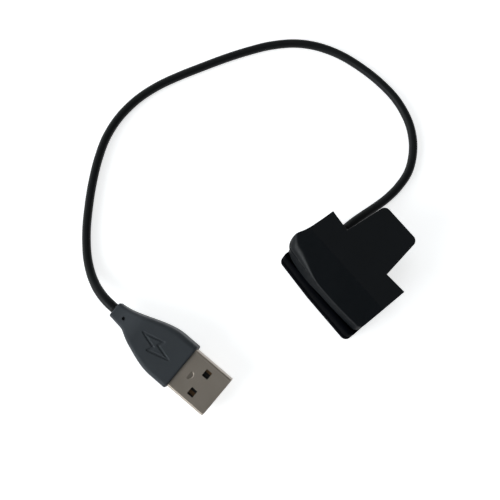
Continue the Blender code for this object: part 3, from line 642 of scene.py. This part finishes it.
# %% The grid's columns
EDGE_STEPS = [0, 0.02, 0.06, 0.12, 0.2, 0.3, 0.42, 0.56, 0.75, 0.98, 1.25, 1.6, 2.0, 2.4, 2.8]
TAB_EDGE_STEPS = [0, 0.02, 0.06, 0.12, 0.2, 0.3, 0.42, 0.6, 0.9, 1.25, 1.7]
RUN = [k / 12 for k in range(1, 12)]
MIDDLE = [k / 16 for k in range(-15, 16)]

columns = [("left", e) for e in EDGE_STEPS] + [("left run", t) for t in RUN]
first_tab_column = len(columns)
columns += [("tab left", e) for e in TAB_EDGE_STEPS] + [("middle", t) for t in MIDDLE]
columns += [("tab right", e) for e in reversed(TAB_EDGE_STEPS)]
last_tab_column = len(columns) - 1
columns += [("right run", t) for t in RUN] + [("right", e) for e in reversed(EDGE_STEPS)]
print("columns:", len(columns), "with", last_tab_column - first_tab_column + 1, "on the tab")

# %% The grid's rows
front_edge = [UPPER_FRONT + e for e in EDGE_STEPS]
slope_rows = [front_edge[-1] + (CREASE - 0.6 - front_edge[-1]) * k / 10 for k in range(1, 10)]
crease_rows = [CREASE + e for e in (-0.6, -0.2, -0.08, 0, 0.08, 0.2, 0.6)]
HINGE = (0.5, 7.8)
CHEEK = 2.4
band_rows = [CREASE + 0.6 + 1.0 * k / 2 for k in (1, 2)]
band_rows += [HINGE[0] - CHEEK * math.cos(math.pi * k / 14) for k in range(0, 13)]
rear_rows = [HEAD_REAR_AT_TAB - e for e in (0.12, 0.06, 0.02, 0)]
head_rows = front_edge + slope_rows + crease_rows + band_rows + rear_rows
tab_run_end = TAB_END - EDGE_STEPS[12]
tab_rows = [HEAD_REAR_AT_TAB + (tab_run_end - HEAD_REAR_AT_TAB) * k / 26 for k in range(1, 27)]
tab_rows += [TAB_END - e for e in reversed(EDGE_STEPS[:12])]
rows = head_rows + tab_rows
print("grid:", len(columns), "columns,", len(rows), "rows")


# %% Where the grid's points lie
def column_x(column, y):
    """Where a column runs at the height y of the plan."""
    kind, value = column
    if kind == "left":
        return left_flank(y) + value
    if kind == "left run":
        start = left_flank(y) + EDGE_STEPS[-1]
        return start + (-TAB_BASE - TAB_LEFT[0] - start) * value
    if kind == "right":
        return right_flank(y) - value
    if kind == "right run":
        end = right_flank(y) - EDGE_STEPS[-1]
        return TAB_BASE + TAB_SHIFT + (end - TAB_BASE - TAB_SHIFT) * value
    low, high = -tab_left(y), tab_half(y) + TAB_SHIFT
    if kind == "tab left":
        return low + value
    if kind == "tab right":
        return high - value
    return (low + high) / 2 + ((high - low) / 2 - TAB_EDGE_STEPS[-1]) * value


def plan_point(i, j):
    """The place in the T of the grid's point in column i and row j, its front bowed, its rear swept."""
    y = rows[j]
    x = column_x(columns[i], y)
    bow = UPPER_BOW * ((x - BOW_MIDDLE) / HEAD_HALF) ** 2
    shift = bow * float(smooth((CREASE - 1 - y) / 4.5))
    if j < len(head_rows) and abs(x) > TAB_BASE + TAB_LEFT[0]:
        swept = (HEAD_REAR - HEAD_REAR_AT_TAB) * (abs(x) - TAB_BASE - TAB_LEFT[0]) / (HEAD_HALF - TAB_BASE)
        swept *= 1 if x < 0 else 0.5
        shift += swept * float(smooth((y - 0.5) / (HEAD_REAR_AT_TAB - 0.5)))
    return x, y + shift


# %% Heights of the top
TOP = 14.5
FRONT_TOP = 12.35
SLOPE = (TOP - FRONT_TOP) / 7.1
CREASE_BLUR = 0.05
DISH = 0.2
CRISP, CORNER_EXTRA, FRONT_EXTRA, TAB_EXTRA = 0.14, 2.4, 0.16, 0.1


def roof(x, y):
    """The roof without its edges: flat behind the crease, sloping in front, a shallow dish for a finger."""
    ahead = (CREASE - y) / CREASE_BLUR
    fall = CREASE_BLUR * SLOPE * np.where(ahead > 30, ahead, np.log1p(np.exp(np.minimum(ahead, 30))))
    dish = DISH * np.exp(-((x / 5.0) ** 2)) * smooth((y + 3.2) / 6) * smooth((13.8 - y) / 4)
    return TOP - fall - dish


def edge_radius(x, y):
    """How round the rim is: crisp at the rear, broad at the left front corner, narrow on the right."""
    corner = smooth((-6.9 - y) / 2.6) * smooth((-1.5 - x) / 11.5)
    tab = smooth((y - HEAD_REAR) / 1.0)
    front = smooth((-9.6 - y) / 1.4)
    return CRISP + CORNER_EXTRA * corner + FRONT_EXTRA * front * (1 - corner) + TAB_EXTRA * tab


def distance_to_rim(points, rim):
    """Shortest distance in plan from each point to the rim's segments."""
    start, end = rim[:, 0], rim[:, 1]
    way = end - start
    nearest = np.full(len(points), 1e9)
    for a, d in zip(start, way):
        share = np.clip(((points - a) @ d) / max(d @ d, 1e-12), 0, 1)
        nearest = np.minimum(nearest, np.linalg.norm(points - a - share[:, None] * d, axis=1))
    return nearest


print("the roof falls", round(SLOPE, 2), "mm per mm in front of", CREASE)

# %% Upper jaw shell: the outer block
bm = bmesh.new()
bmesh.ops.create_grid(bm, x_segments=len(columns) - 1, y_segments=len(rows) - 1, size=1)
outside = []
for vert in bm.verts:
    i = round((vert.co.x + 1) / 2 * (len(columns) - 1))
    j = round((vert.co.y + 1) / 2 * (len(rows) - 1))
    if j >= len(head_rows) and not first_tab_column <= i <= last_tab_column:
        outside.append(vert)
    else:
        vert.co = (*plan_point(i, j), 0)
bmesh.ops.delete(bm, geom=outside, context="VERTS")
rim_edges = [e for e in bm.edges if e.is_boundary]
rim = np.array([[v.co.xy for v in e.verts] for e in rim_edges])
plan = np.array([v.co.xy for v in bm.verts])
radius = edge_radius(plan[:, 0], plan[:, 1])
near = np.minimum(distance_to_rim(plan, rim), radius)
heights = roof(plan[:, 0], plan[:, 1]) - radius + np.sqrt(radius ** 2 - (radius - near) ** 2)
for vert, height in zip(bm.verts, heights):
    vert.co.z = height
walls = bmesh.ops.extrude_edge_only(bm, edges=rim_edges)["geom"]
for vert in (g for g in walls if isinstance(g, bmesh.types.BMVert)):
    lean = 0.62 + 0.62 * float(smooth((1.5 - vert.co.x) / 11))
    lean *= float(smooth((-9.2 - vert.co.y) / 1.8) * smooth((vert.co.x + 15.4) / 4.5))
    vert.co.y -= 2.0 * lean
    vert.co.z = 4
bmesh.ops.holes_fill(bm, edges=[e for e in bm.edges if e.is_boundary], sides=0)
upper_shell = as_object("upper_shell", bm)
print("outer block:", len(upper_shell.data.polygons), "faces")

# %% [markdown]
# The block is cut by the lever's side profile, which gives the front lip, the cheeks round the hinge
# and the flat underside of the tab. Then the hollow, the hinge bores and the slot for the spring's
# leg are taken out. Each cutter's corners are rounded, so the moulding has no knife edges in it.

# %% Upper jaw shell: profile and hollow
LIP_BOTTOM = 8.0
LIP_INNER = -10.9
RIM = 9.6
TAB_BOTTOM = 12.7
ROOF_THICKNESS = 1.35
CHEEK_INNER = 12.2
PIN_BORE = 0.95
SLOT_HALF = 2.6
cheek = [
    (HINGE[0] + CHEEK * math.cos(a), HINGE[1] + CHEEK * math.sin(a))
    for a in (math.radians(-7.5 * k) for k in range(25))
]
profile = rounded([
    (-20, LIP_BOTTOM, 0),
    (-20, 20, 0),
    (20, 20, 0),
    (20, TAB_BOTTOM, 0),
    (HEAD_REAR, TAB_BOTTOM, 0.3),
    (HEAD_REAR, RIM, 0.2),
    (HINGE[0] + CHEEK, RIM, 0),
    *[(y, z, 0) for y, z in cheek],
    (HINGE[0] - CHEEK - 0.15, RIM, 0.15),
    (LIP_INNER, RIM, 0.3),
    (LIP_INNER, LIP_BOTTOM, 0.3),
])
cut(upper_shell, prism("profile", profile, -20, 20, "X"), "INTERSECT")
rear_wall = HEAD_REAR - 1.3
hollow = rounded([
    (LIP_INNER, 4, 0),
    (HEAD_REAR + 2, 4, 0),
    (HEAD_REAR + 2, RIM, 0),
    (rear_wall, RIM, 0.15),
    (rear_wall, TOP - ROOF_THICKNESS - 0.2, 0.4),
    (CREASE, TOP - ROOF_THICKNESS - 0.2, 2.0),
    (LIP_INNER, FRONT_TOP - ROOF_THICKNESS - 0.1, 0.4),
])
cut(upper_shell, prism("hollow", hollow, -CHEEK_INNER, CHEEK_INNER, "X"))
cut(upper_shell, bar("bore", (-20, *HINGE), (20, *HINGE), PIN_BORE))
cut(upper_shell, block("slot", (-SLOT_HALF, rear_wall - 1, 9), (SLOT_HALF, HEAD_REAR + 1, 11.6), 0.2))
finish_piece(upper_shell, CASE, "upper_lever", "case_plastic", "upper_jaw_shell", sharp=32)

# %% Upper jaw shell: front wall in painted shade
WALL_START = -9.5 * MM
STEEP = 0.4
# The front wall's low, steep faces get the duller copy of the case plastic: painted shade.
upper_shell.data.materials.append(FRONT_PAINTED_SHADE)
painted_shade_wall = [f for f in upper_shell.data.polygons if f.center.y < WALL_START and f.normal.z < STEEP]
for face in painted_shade_wall:
    face.material_index = 1
print("front wall:", len(painted_shade_wall), "faces")

# %% [markdown]
# ## Lower jaw
# The lower lever is a flat tub with a thinner finger tab, closed by a cover that carries the seat for
# the tracker, the front lip and two ears for the hinge. Each starts as a stack of outlines, one for
# each height, which gives the front its belly and the rims their rounding: a bevel could round the
# rims, but not pull the front in as it rises. The inside and the side view are then cut with prisms.

# %% Lower jaw: outline
LOWER_FRONT = -14.85
LOWER_INSET = 0.3
WALL = 1.3
FLOOR = 1.1
TUB_TOP = 3.4
SEAT_TOP = 4.8
CABLE_X, GLAND_Z = -9.2, 2.45
POST = (6.8, -8.4)
rear = HEAD_REAR - LOWER_INSET


def lower_outline(tab):
    """The lower T, or only its head, from the front's left corner round to the rear's left corner."""
    right = [(HEAD_HALF - LOWER_INSET, HEAD_REAR - LOWER_INSET, 0.4)]
    if tab:
        right += [(TAB_BASE - 1.0, HEAD_REAR_AT_TAB - LOWER_INSET, 0.8), (TAB_TIP - 1.0, 13.2, TAB_CORNER)]
    left = [(-u, v, r) for u, v, r in reversed(right)]
    front = [
        (-14.4, -13.85, 1.5),
        (-2.0, LOWER_FRONT + 0.2, 0),
        (5.0, LOWER_FRONT + 0.1, 0),
        (13.5, LOWER_FRONT, 1.7),
    ]
    return rounded(front + right + left, 10)


def stacked(name, outline, levels):
    """Outlines at (height, front inset, side inset), each narrowed towards its middle line."""
    rings = []
    for z, front, side in levels:
        ring = []
        for x, y in outline:
            ahead = float(smooth((-4 - y) / 9))
            ring.append((x - math.copysign(side, x) * min(1, abs(x) / 3), y + front * ahead, z))
        rings.append(ring)
    return lofted(name, rings)


# %% Lower jaw: lower shell
lower_shell = stacked("lower_shell", lower_outline(True), [
    (0.0, 1.2, 0.55), (0.06, 1.0, 0.38), (0.25, 0.62, 0.16), (0.6, 0.28, 0.04), (1.0, 0.1, 0), (1.5, 0, 0),
    (2.2, 0.04, 0), (2.8, 0.2, 0), (3.2, 0.36, 0.02), (3.34, 0.44, 0.07), (TUB_TOP, 0.54, 0.16),
])
tab_top = rounded([
    (rear, TUB_TOP + 1, 0),
    (rear, 3.15, 0),
    (rear + 0.3, 2.9, 0.2),
    (12.9, 2.9, 0.3),
    (13.5, 2.3, 0),
    (15, 2.3, 0),
    (15, TUB_TOP + 1, 0),
], 4)
cut(lower_shell, prism("tab_top", tab_top, -9, 9, "X"))
tab_under = rounded([
    (rear, -1, 0),
    (rear, 0.1, 0),
    (rear + 1.2, 0.8, 0.6),
    (12.8, 1.35, 0.3),
    (13.5, 1.9, 0),
    (15, 1.9, 0),
    (15, -1, 0),
], 4)
cut(lower_shell, prism("tab_under", tab_under, -9, 9, "X"))
print("lower shell:", len(lower_shell.data.polygons), "faces before its inside is cut")

# %% Lower jaw: inside of the lower shell
inside = [
    (-HEAD_HALF + LOWER_INSET + WALL, rear - WALL, 0.6),
    (-HEAD_HALF + LOWER_INSET + WALL, LOWER_FRONT + 2.1, 2.0),
    (HEAD_HALF - LOWER_INSET - WALL, LOWER_FRONT + 2.1, 2.0),
    (HEAD_HALF - LOWER_INSET - WALL, rear - WALL, 0.6),
]
cut(lower_shell, prism("inside", rounded(inside), FLOOR, 9))
GLAND_BORE = ((CABLE_X, 1, GLAND_Z), (CABLE_X, 6, GLAND_Z), 1.45)
GLAND_POCKET = ((CABLE_X - 1.95, -0.2, 0.6), (CABLE_X + 1.95, rear - WALL, 4.3), 0.1)
cut(lower_shell, bar("gland_bore", *GLAND_BORE))
cut(lower_shell, block("gland_pocket", *GLAND_POCKET))
post_profile = [(0, 2.75), (0.6, 2.75), (0.7, 2.65), (0.7, 1.35), (1.4, 1.35), (1.4, 0.8), (0, 0.8)]
for side in (-1, 1):
    post = lathe("post", post_profile, 32)
    post.data.transform(Matrix.Translation((POST[0] * side, POST[1], 0)))
    cut(lower_shell, post, "UNION")
# The lower shell gets the darker copy of the case plastic: painted shade.
finish_piece(lower_shell, LIP_PAINTED_SHADE, "base", "case_plastic", "base_lower_shell", flat_over=3)

# %% Lower jaw: seat cover
seat_cover = stacked("seat_cover", lower_outline(False), [
    (TUB_TOP + 0.3, 0.66, 0.16), (TUB_TOP + 0.38, 0.58, 0.06), (TUB_TOP + 0.6, 0.6, 0), (4.4, 0.72, 0),
    (5.2, 0.92, 0), (6.0, 1.16, 0.04), (6.5, 1.38, 0.14), (6.8, 1.62, 0.3), (6.95, 1.86, 0.48),
    (7.0, 2.1, 0.7),
])
seat_side = rounded([
    (LOWER_FRONT + 2.3, 8, 0),
    (LOWER_FRONT + 2.3, 6.9, 0.4),
    (LOWER_FRONT + 2.8, SEAT_TOP + 0.7, 0.5),
    (LOWER_FRONT + 3.5, SEAT_TOP, 0.6),
    (rear - 0.15, SEAT_TOP, 0),
    (rear, SEAT_TOP - 0.15, 0),
    (rear + 1, SEAT_TOP - 0.15, 0),
    (rear + 1, 8, 0),
], 5)
cut(seat_cover, prism("seat", seat_side, -18, 18, "X"))
print("seat cover:", len(seat_cover.data.polygons), "faces before its ears are added")

# %% Lower jaw: ears, slots and bores
EAR = 2.2
ear_side = [(HINGE[0] + EAR, SEAT_TOP - 0.4)]
ear_side += [
    (HINGE[0] + EAR * math.cos(math.radians(a)), HINGE[1] + EAR * math.sin(math.radians(a)))
    for a in range(0, 181, 6)
]
ear_side += [(HINGE[0] - EAR, SEAT_TOP - 0.4)]
for side in (-1, 1):
    low, high = sorted((10.2 * side, 11.8 * side))
    ear = prism("ear", ear_side, low, high, "X")
    soften(ear, 0.15, 60)
    cut(seat_cover, ear, "UNION")
cut(seat_cover, block("spring_slot", (-SLOT_HALF, 1.2, 4.2), (SLOT_HALF, 5, 6), 0.15))
cut(seat_cover, block("pin_window", (-5.3, -8.9, 3), (5.3, -5.1, 6), 0.5))
cut(seat_cover, bar("gland_bore", *GLAND_BORE))
cut(seat_cover, block("gland_pocket", *GLAND_POCKET))
for side in (-1, 1):
    cut(seat_cover, bar("ear_bore", (9 * side, *HINGE), (13 * side, *HINGE), PIN_BORE))
# The seat cover gets the darker copy of the case plastic: painted shade.
finish_piece(seat_cover, LIP_PAINTED_SHADE, "base", "case_plastic", "base_seat_cover", flat_over=3)

# %% [markdown]
# ## Strain relief and hinge pin
# The strain relief is a turned sleeve: a flange inside the wall, a neck through it and three soft
# ribs outside, so that the cable bends gently. The hinge pin is a steel bar with domed ends. Turned
# things are a half profile, spun round an axis.

# %% Strain relief and hinge pin
gland = lathe("strain_relief", [
    (1.17, 0.95),
    (1.6, 0.95),
    (1.65, 1.0),
    (1.65, 1.75),
    (1.3, 1.8),
    (1.3, 3.45),
    (1.65, 3.5),
    (1.62, 3.85),
    (1.42, 3.9),
    (1.42, 4.05),
    (1.55, 4.1),
    (1.52, 4.45),
    (1.34, 4.5),
    (1.34, 4.65),
    (1.45, 4.7),
    (1.4, 5.05),
    (1.25, 5.35),
    (1.17, 5.38),
    (1.17, 0.95),
])
gland_place = Matrix.Translation(Vector((CABLE_X, 0, GLAND_Z)) * MM) @ Matrix.Rotation(-math.pi / 2, 4, "X")
finish_piece(gland, JACKET, "base", "cable_jacket", "cable_gland", place=gland_place, sharp=60)

PIN_END = HEAD_HALF - 0.3
pin = lathe("hinge_axle", [
    (0, -PIN_END),
    (0.5, -PIN_END + 0.04),
    (0.74, -PIN_END + 0.16),
    (0.8, -PIN_END + 0.35),
    (0.8, PIN_END - 0.35),
    (0.74, PIN_END - 0.16),
    (0.5, PIN_END - 0.04),
    (0, PIN_END),
])
pin_place = Matrix.Translation(Vector((0, *HINGE)) * MM) @ Matrix.Rotation(math.pi / 2, 4, "Y")
finish_piece(pin, STEEL, "base", "spring_steel", "hinge_pin", place=pin_place, sharp=60)

# %% [markdown]
# ## Springs
# The torsion spring is one wire: a leg under the upper finger tab, four coils round the pin and a leg
# on the lower tab. A round section is carried along its path. The three pin springs are short
# helices, which the real pins press shorter.

# %% Torsion spring
LEG_ANGLE = math.radians(22)
COIL_TURNS = 4
COIL_RADIUS = 1.6
COIL_HALF = 1.5
WIRE_RADIUS = 0.28
first = LEG_ANGLE + math.pi / 2
sweep = math.tau * (COIL_TURNS + 1) - 2 * first
count = 40 * COIL_TURNS
coils = []
for k in range(count + 1):
    a = first + sweep * k / count
    coils.append(Vector((
        COIL_HALF * (2 * k / count - 1),
        HINGE[0] + COIL_RADIUS * math.cos(a),
        HINGE[1] + COIL_RADIUS * math.sin(a),
    )))
LEG_LENGTH = 7.6
LEG_STEPS = [LEG_LENGTH * k / 12 for k in range(1, 13)]


def spring_leg(root, rise):
    """The points of a straight leg, upwards for a rise of 1 and downwards for -1."""
    reach = Vector((0, math.cos(LEG_ANGLE), rise * math.sin(LEG_ANGLE)))
    return [root + reach * step for step in LEG_STEPS]


path = list(reversed(spring_leg(coils[0], 1))) + coils + spring_leg(coils[-1], -1)
torsion = wire("return_spring", path, WIRE_RADIUS, 16)
torsion.data.transform(Matrix.Scale(MM, 4))
torsion.data.materials.append(STEEL)
torsion.data.shade_smooth()
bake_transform(torsion)
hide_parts("torsion_spring")
print("return_spring", len(torsion.data.polygons), "faces")

# %% Pins and their springs
PIN_Y = -7.0
PIN_PITCH = 3.0
SPRING_FOOT, SPRING_HEIGHT, SPRING_COILS = 3.02, 1.51, 4
barrel_profile = [
    (0, 2.9), (0.62, 2.9), (0.62, 5.2), (0.48, 5.2), (0.48, 5.44), (0.52, 5.5), (0.74, 5.5), (0.8, 5.44),
    (0.8, 3.4), (0.76, 3.35), (0.76, 3.2), (0.8, 3.15), (0.8, 2.56), (0.74, 2.5), (0, 2.5),
]
dome = [math.radians(a) for a in range(0, 91, 9)]
plunger_profile = [(0.4 * math.sin(a), 6.2 + 0.4 * math.cos(a)) for a in dome]
plunger_profile += [(0.4, 5.15), (0.5, 5.15), (0.55, 5.1), (0.55, 4.7), (0.5, 4.65), (0, 4.65)]
for k in (1, 2, 3):
    x = PIN_PITCH * (k - 2)
    spot = Matrix.Translation(Vector((x, PIN_Y, 0)) * MM)
    barrel = lathe(f"pin_barrel_{k}", barrel_profile, 48)
    finish_piece(barrel, GOLD, "base", "gold_plate", f"pogo_barrel_{k}", place=spot, sharp=35)
    plunger = lathe(f"pin_plunger_{k}", plunger_profile, 48)
    finish_piece(plunger, GOLD, f"plunger_{k}", "gold_plate", f"pogo_plunger_{k}", place=spot, sharp=35)
    turns = [SPRING_COILS * s / 96 for s in range(97)]
    helix = [
        (0.42 * math.cos(math.tau * t), 0.42 * math.sin(math.tau * t), SPRING_FOOT + SPRING_HEIGHT * t / 4)
        for t in turns
    ]
    helix_wire = wire(f"pin_spring_{k}", helix, 0.075, 10)
    finish_piece(helix_wire, STEEL, "base", "spring_steel", f"pogo_spring_{k}", place=spot, sharp=70)
    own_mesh(helix_wire)

# %% [markdown]
# ## Pieces inside the clip
# The circuit board, the pins' block, the wires, the jaw's liner and its pad are only seen when the jaw
# stands open. Their solids already have the right shape, so they are kept: each gets its finish, and
# most also small rounded edges from a Bevel modifier, which leaves the solid itself as it is.

# %% Dressing the solids that stay
def dress(node, finish, width=0.0, sharp=35):
    """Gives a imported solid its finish, and rounded edges if it has a width for them."""
    obj = NODES[node]
    obj.data.materials.clear()
    obj.data.materials.append(finish)
    obj.data.shade_smooth()
    obj.data.set_sharp_from_angle(angle=math.radians(sharp))
    if width:
        modifier = obj.modifiers.new("edges", "BEVEL")
        modifier.width = width * MM
        modifier.segments = 3
        modifier.limit_method = "ANGLE"
        modifier.angle_limit = math.radians(sharp)
        modifier.harden_normals = True
    print(node, "dressed in", finish.name)


dress("pin_block", INNER, 0.12)
dress("clip_circuit_board", BOARD, 0.04)
dress("jaw_liner", INNER, 0.0)
dress("jaw_pad", RUBBER, 0.15)
for k in (1, 2, 3):
    dress(f"clip_wire_{k}", WIRE_FINISHES[k - 1], sharp=70)
    dress(f"plug_wire_{k}", WIRE_FINISHES[k - 1], sharp=70)
dress("plug_inner_mould", NATURAL, 0.08)
dress("plug_insulator", INNER)
# The plug's contacts get the darkened gold: painted shade.
for k in (1, 2, 3, 4):
    dress(f"plug_contact_{k}", GOLD_PAINTED_SHADE)

# %% [markdown]
# ## Plug grip
# The grip is soft plastic moulded over the plug's rear. It swells from a slim neck to the shell's
# width in one S-curve, and its section is a rectangle with round corners throughout. It is made from
# one grid: the columns go round the section, the rows run from the neck to the front, then turn
# inwards along the shell's cavity and back through the cable's bore, so the skin closes on itself.
# The rows are fine enough for a shallow engraved flash, which stands for the mark on the real one.

# %% Plug: its place and its section
PLUG_ROLL = math.radians(8)
PLUG_HEADING = math.radians(9)
GRIP_LENGTH = 23.5
GRIP_HALF = (6.8, 3.6)
NECK_HALF = (2.2, 1.9)
GRIP_FLARE = 18.3
GRIP_CORNER = 1.1
axis_height = (GRIP_HALF[0] - GRIP_CORNER) * math.sin(PLUG_ROLL) + GRIP_CORNER + 0.05
axis_height += (GRIP_HALF[1] - GRIP_CORNER) * math.cos(PLUG_ROLL)
PLUG_SPOT = Vector((-32.48, -55.23, axis_height)) * MM
PLUG_TURN = Matrix.Rotation(PLUG_HEADING, 4, "Z") @ Matrix.Rotation(PLUG_ROLL, 4, "X")
PLUG_PLACE = Matrix.Translation(PLUG_SPOT) @ PLUG_TURN
TOP_COLUMNS, BOTTOM_COLUMNS, SIDE_COLUMNS, CORNER_COLUMNS = 84, 16, 8, 8
FLATS = [SIDE_COLUMNS, TOP_COLUMNS, SIDE_COLUMNS, BOTTOM_COLUMNS]


def section_points(half_width, half_height, corner, flats=FLATS):
    """One closed section in (y, z): a flat and a corner arc in turn, from the lower right corner up."""
    points = []
    corners = [(1, -1), (1, 1), (-1, 1), (-1, -1)]
    for k, flat in enumerate(flats):
        sy, sz = corners[k]
        ty, tz = corners[(k + 1) % 4]
        here = Vector((sy * (half_width - corner), sz * (half_height - corner)))
        there = Vector((ty * (half_width - corner), tz * (half_height - corner)))
        outward = math.pi / 2 * k
        push = Vector((math.cos(outward), math.sin(outward))) * corner
        points += [here.lerp(there, s / flat) + push for s in range(flat)]
        for s in range(CORNER_COLUMNS):
            a = outward + math.pi / 2 * s / CORNER_COLUMNS
            points.append(there + Vector((math.cos(a), math.sin(a))) * corner)
    return points


def ring_at(x, points):
    """A section's points, put at x along the plug."""
    return [Vector((x, point.x, point.y)) for point in points]


# %% Plug grip: the grid
def grip_section(x):
    """The outer section at x, with the rounded shoulder at the neck and the rounded front edge."""
    width = NECK_HALF[0] + (GRIP_HALF[0] - NECK_HALF[0]) * float(smooth(x / GRIP_FLARE))
    height = NECK_HALF[1] + (GRIP_HALF[1] - NECK_HALF[1]) * float(smooth(x / 9))
    shrink = 0.0
    if x < 0.4:
        shrink = 0.4 - math.sqrt(max(0.0, 0.4 ** 2 - (0.4 - x) ** 2))
    if x > GRIP_LENGTH - 0.45:
        shrink = 0.45 - math.sqrt(max(0.0, 0.45 ** 2 - (x - GRIP_LENGTH + 0.45) ** 2))
    corner = 0.75 + 0.6 * float(smooth(x / 16))
    return ring_at(x, section_points(width - shrink, height - shrink, corner - shrink * 0.6))


stations = [0.4 * (1 - math.cos(math.pi / 2 * k / 6)) for k in range(6)]
stations += [0.4 + (GRIP_LENGTH - 0.85) * k / 170 for k in range(171)]
stations += [GRIP_LENGTH - 0.45 + 0.45 * math.sin(math.pi / 2 * k / 6) for k in range(1, 7)]
rings = [grip_section(x) for x in stations]
rings += [
    ring_at(x, section_points(width, height, corner))
    for x, width, height, corner in (
        (GRIP_LENGTH, 6.25, 2.5, 1.0),
        (GRIP_LENGTH - 0.12, 6.12, 2.37, 0.92),
        (15.6, 6.12, 2.37, 0.92),
        (11.4, 3.2, 2.3, 0.6),
        (11.35, 1.2, 1.2, 1.15),
        (0.1, 1.2, 1.2, 1.15),
        (0.0, 1.3, 1.3, 1.2),
    )
]
grip = lofted("plug_grip", rings, closed=True)
print("grip grid:", len(grip.data.polygons), "faces")

# %% [markdown]
# The flash is drawn by distance: each point of the top that lies near the flash's outline is pressed
# in, deepest on the line itself. One flank is pinched a little behind the neck. The small blind hole
# by the neck is where the mould was filled, and a Boolean is the plain way to drill it.

# %% Plug grip: waist, engraved flash and the mould's gate
WAIST = 0.4
FLASH = [(10.2, 0.7), (15.9, 2.2), (15.2, 0.65), (19.6, -0.5), (13.9, -2.1), (14.6, -0.55)]
ENGRAVED_HALF = 0.4
ENGRAVED_DEPTH = 0.24
flash = np.array([[FLASH[k], FLASH[(k + 1) % len(FLASH)]] for k in range(len(FLASH))], float)
points = np.array([v.co for v in grip.data.vertices])
waist = np.exp(-(((points[:, 0] - 5.0) / 1.8) ** 2)) * smooth((-points[:, 1] - 1.4) / 0.8)
points[:, 1] += WAIST * waist
on_top = (points[:, 2] > 2.5) & (np.abs(points[:, 1]) < 3.2) & (points[:, 0] > 9) & (points[:, 0] < 21)
away = distance_to_rim(points[on_top][:, :2], flash)
points[on_top, 2] -= ENGRAVED_DEPTH * smooth(1.35 - 1.35 * away / ENGRAVED_HALF)
grip.data.vertices.foreach_set("co", points.ravel())
grip.data.update()
cut(grip, bar("gate", (3.7, -0.15, 1.2), (3.7, -0.15, 6), 0.47, 32))
finish_piece(grip, GRIP, "base", "grip_overmould", "plug_overmould", place=PLUG_PLACE, sharp=45)

# %% [markdown]
# ## Plug shell
# The shell is thin nickel-plated sheet, folded into a flat tube. It is the same wrapped grid, out
# along the outside and back along the inside. Two windows go through both faces; behind them a half
# round was punched into the top. Their edges are softened a little, as a press tool leaves them.

# %% Plug shell: tube
SHELL_END, SHELL_LENGTH = 35.35, 18.75
SHELL_HALF = (6.0, 2.25)
SHEET = 0.3
SHELL_CORNER = 0.7
start = SHELL_END - SHELL_LENGTH
PLAIN = [1, 1, 1, 1]
outer = section_points(*SHELL_HALF, SHELL_CORNER, PLAIN)
lip = section_points(SHELL_HALF[0] - 0.08, SHELL_HALF[1] - 0.08, SHELL_CORNER - 0.06, PLAIN)
inner = section_points(SHELL_HALF[0] - SHEET, SHELL_HALF[1] - SHEET, SHELL_CORNER - SHEET, PLAIN)
tube = [(start, outer), (SHELL_END - 0.09, outer), (SHELL_END, lip), (SHELL_END, inner), (start, inner)]
shell = lofted("usb_shell", [ring_at(x, points) for x, points in tube], closed=True)
print("shell:", len(shell.data.polygons), "faces before the windows")

# %% Plug shell: windows and punched mark
WINDOW_X = SHELL_END - 5.7
for side in (-1, 1):
    y = 3.0 * side
    cut(shell, block("window", (WINDOW_X - 0.9, y - 1.05, -4), (WINDOW_X + 0.9, y + 1.05, 4)))
PUNCH_X = SHELL_END - 9.3
PUNCH_TILT = math.radians(11)
punch = lathe("punch", [(0, 0), (1.1, 0), (1.28, 0.17), (1.28, 2), (0, 2)], 40)
cut(punch, block("punch_rear", (-2, -2, -1), (0, 2, 3)))
punch_place = Matrix.Translation((PUNCH_X, 0, SHELL_HALF[1])) @ Matrix.Rotation(PUNCH_TILT, 4, "Y")
punch.data.transform(punch_place)
cut(shell, punch)
soften(shell, 0.07, 50, 2)
finish_piece(shell, NICKEL, "base", "nickel_plate", "plug_shell", place=PLUG_PLACE, sharp=30, flat_over=2)

# %% [markdown]
# ## The free cord
# The pieces that go with the cable's cord, from its strain relief to the plug, are gathered in one
# list.

# %% Cord
on_cord = [gland, grip, shell, NODES["plug_inner_mould"], NODES["plug_insulator"]]
on_cord += [NODES[f"plug_contact_{k}"] for k in (1, 2, 3, 4)]
on_cord += [NODES[f"plug_wire_{k}"] for k in (1, 2, 3)]
print("pieces that hang on the cord:", len(on_cord))
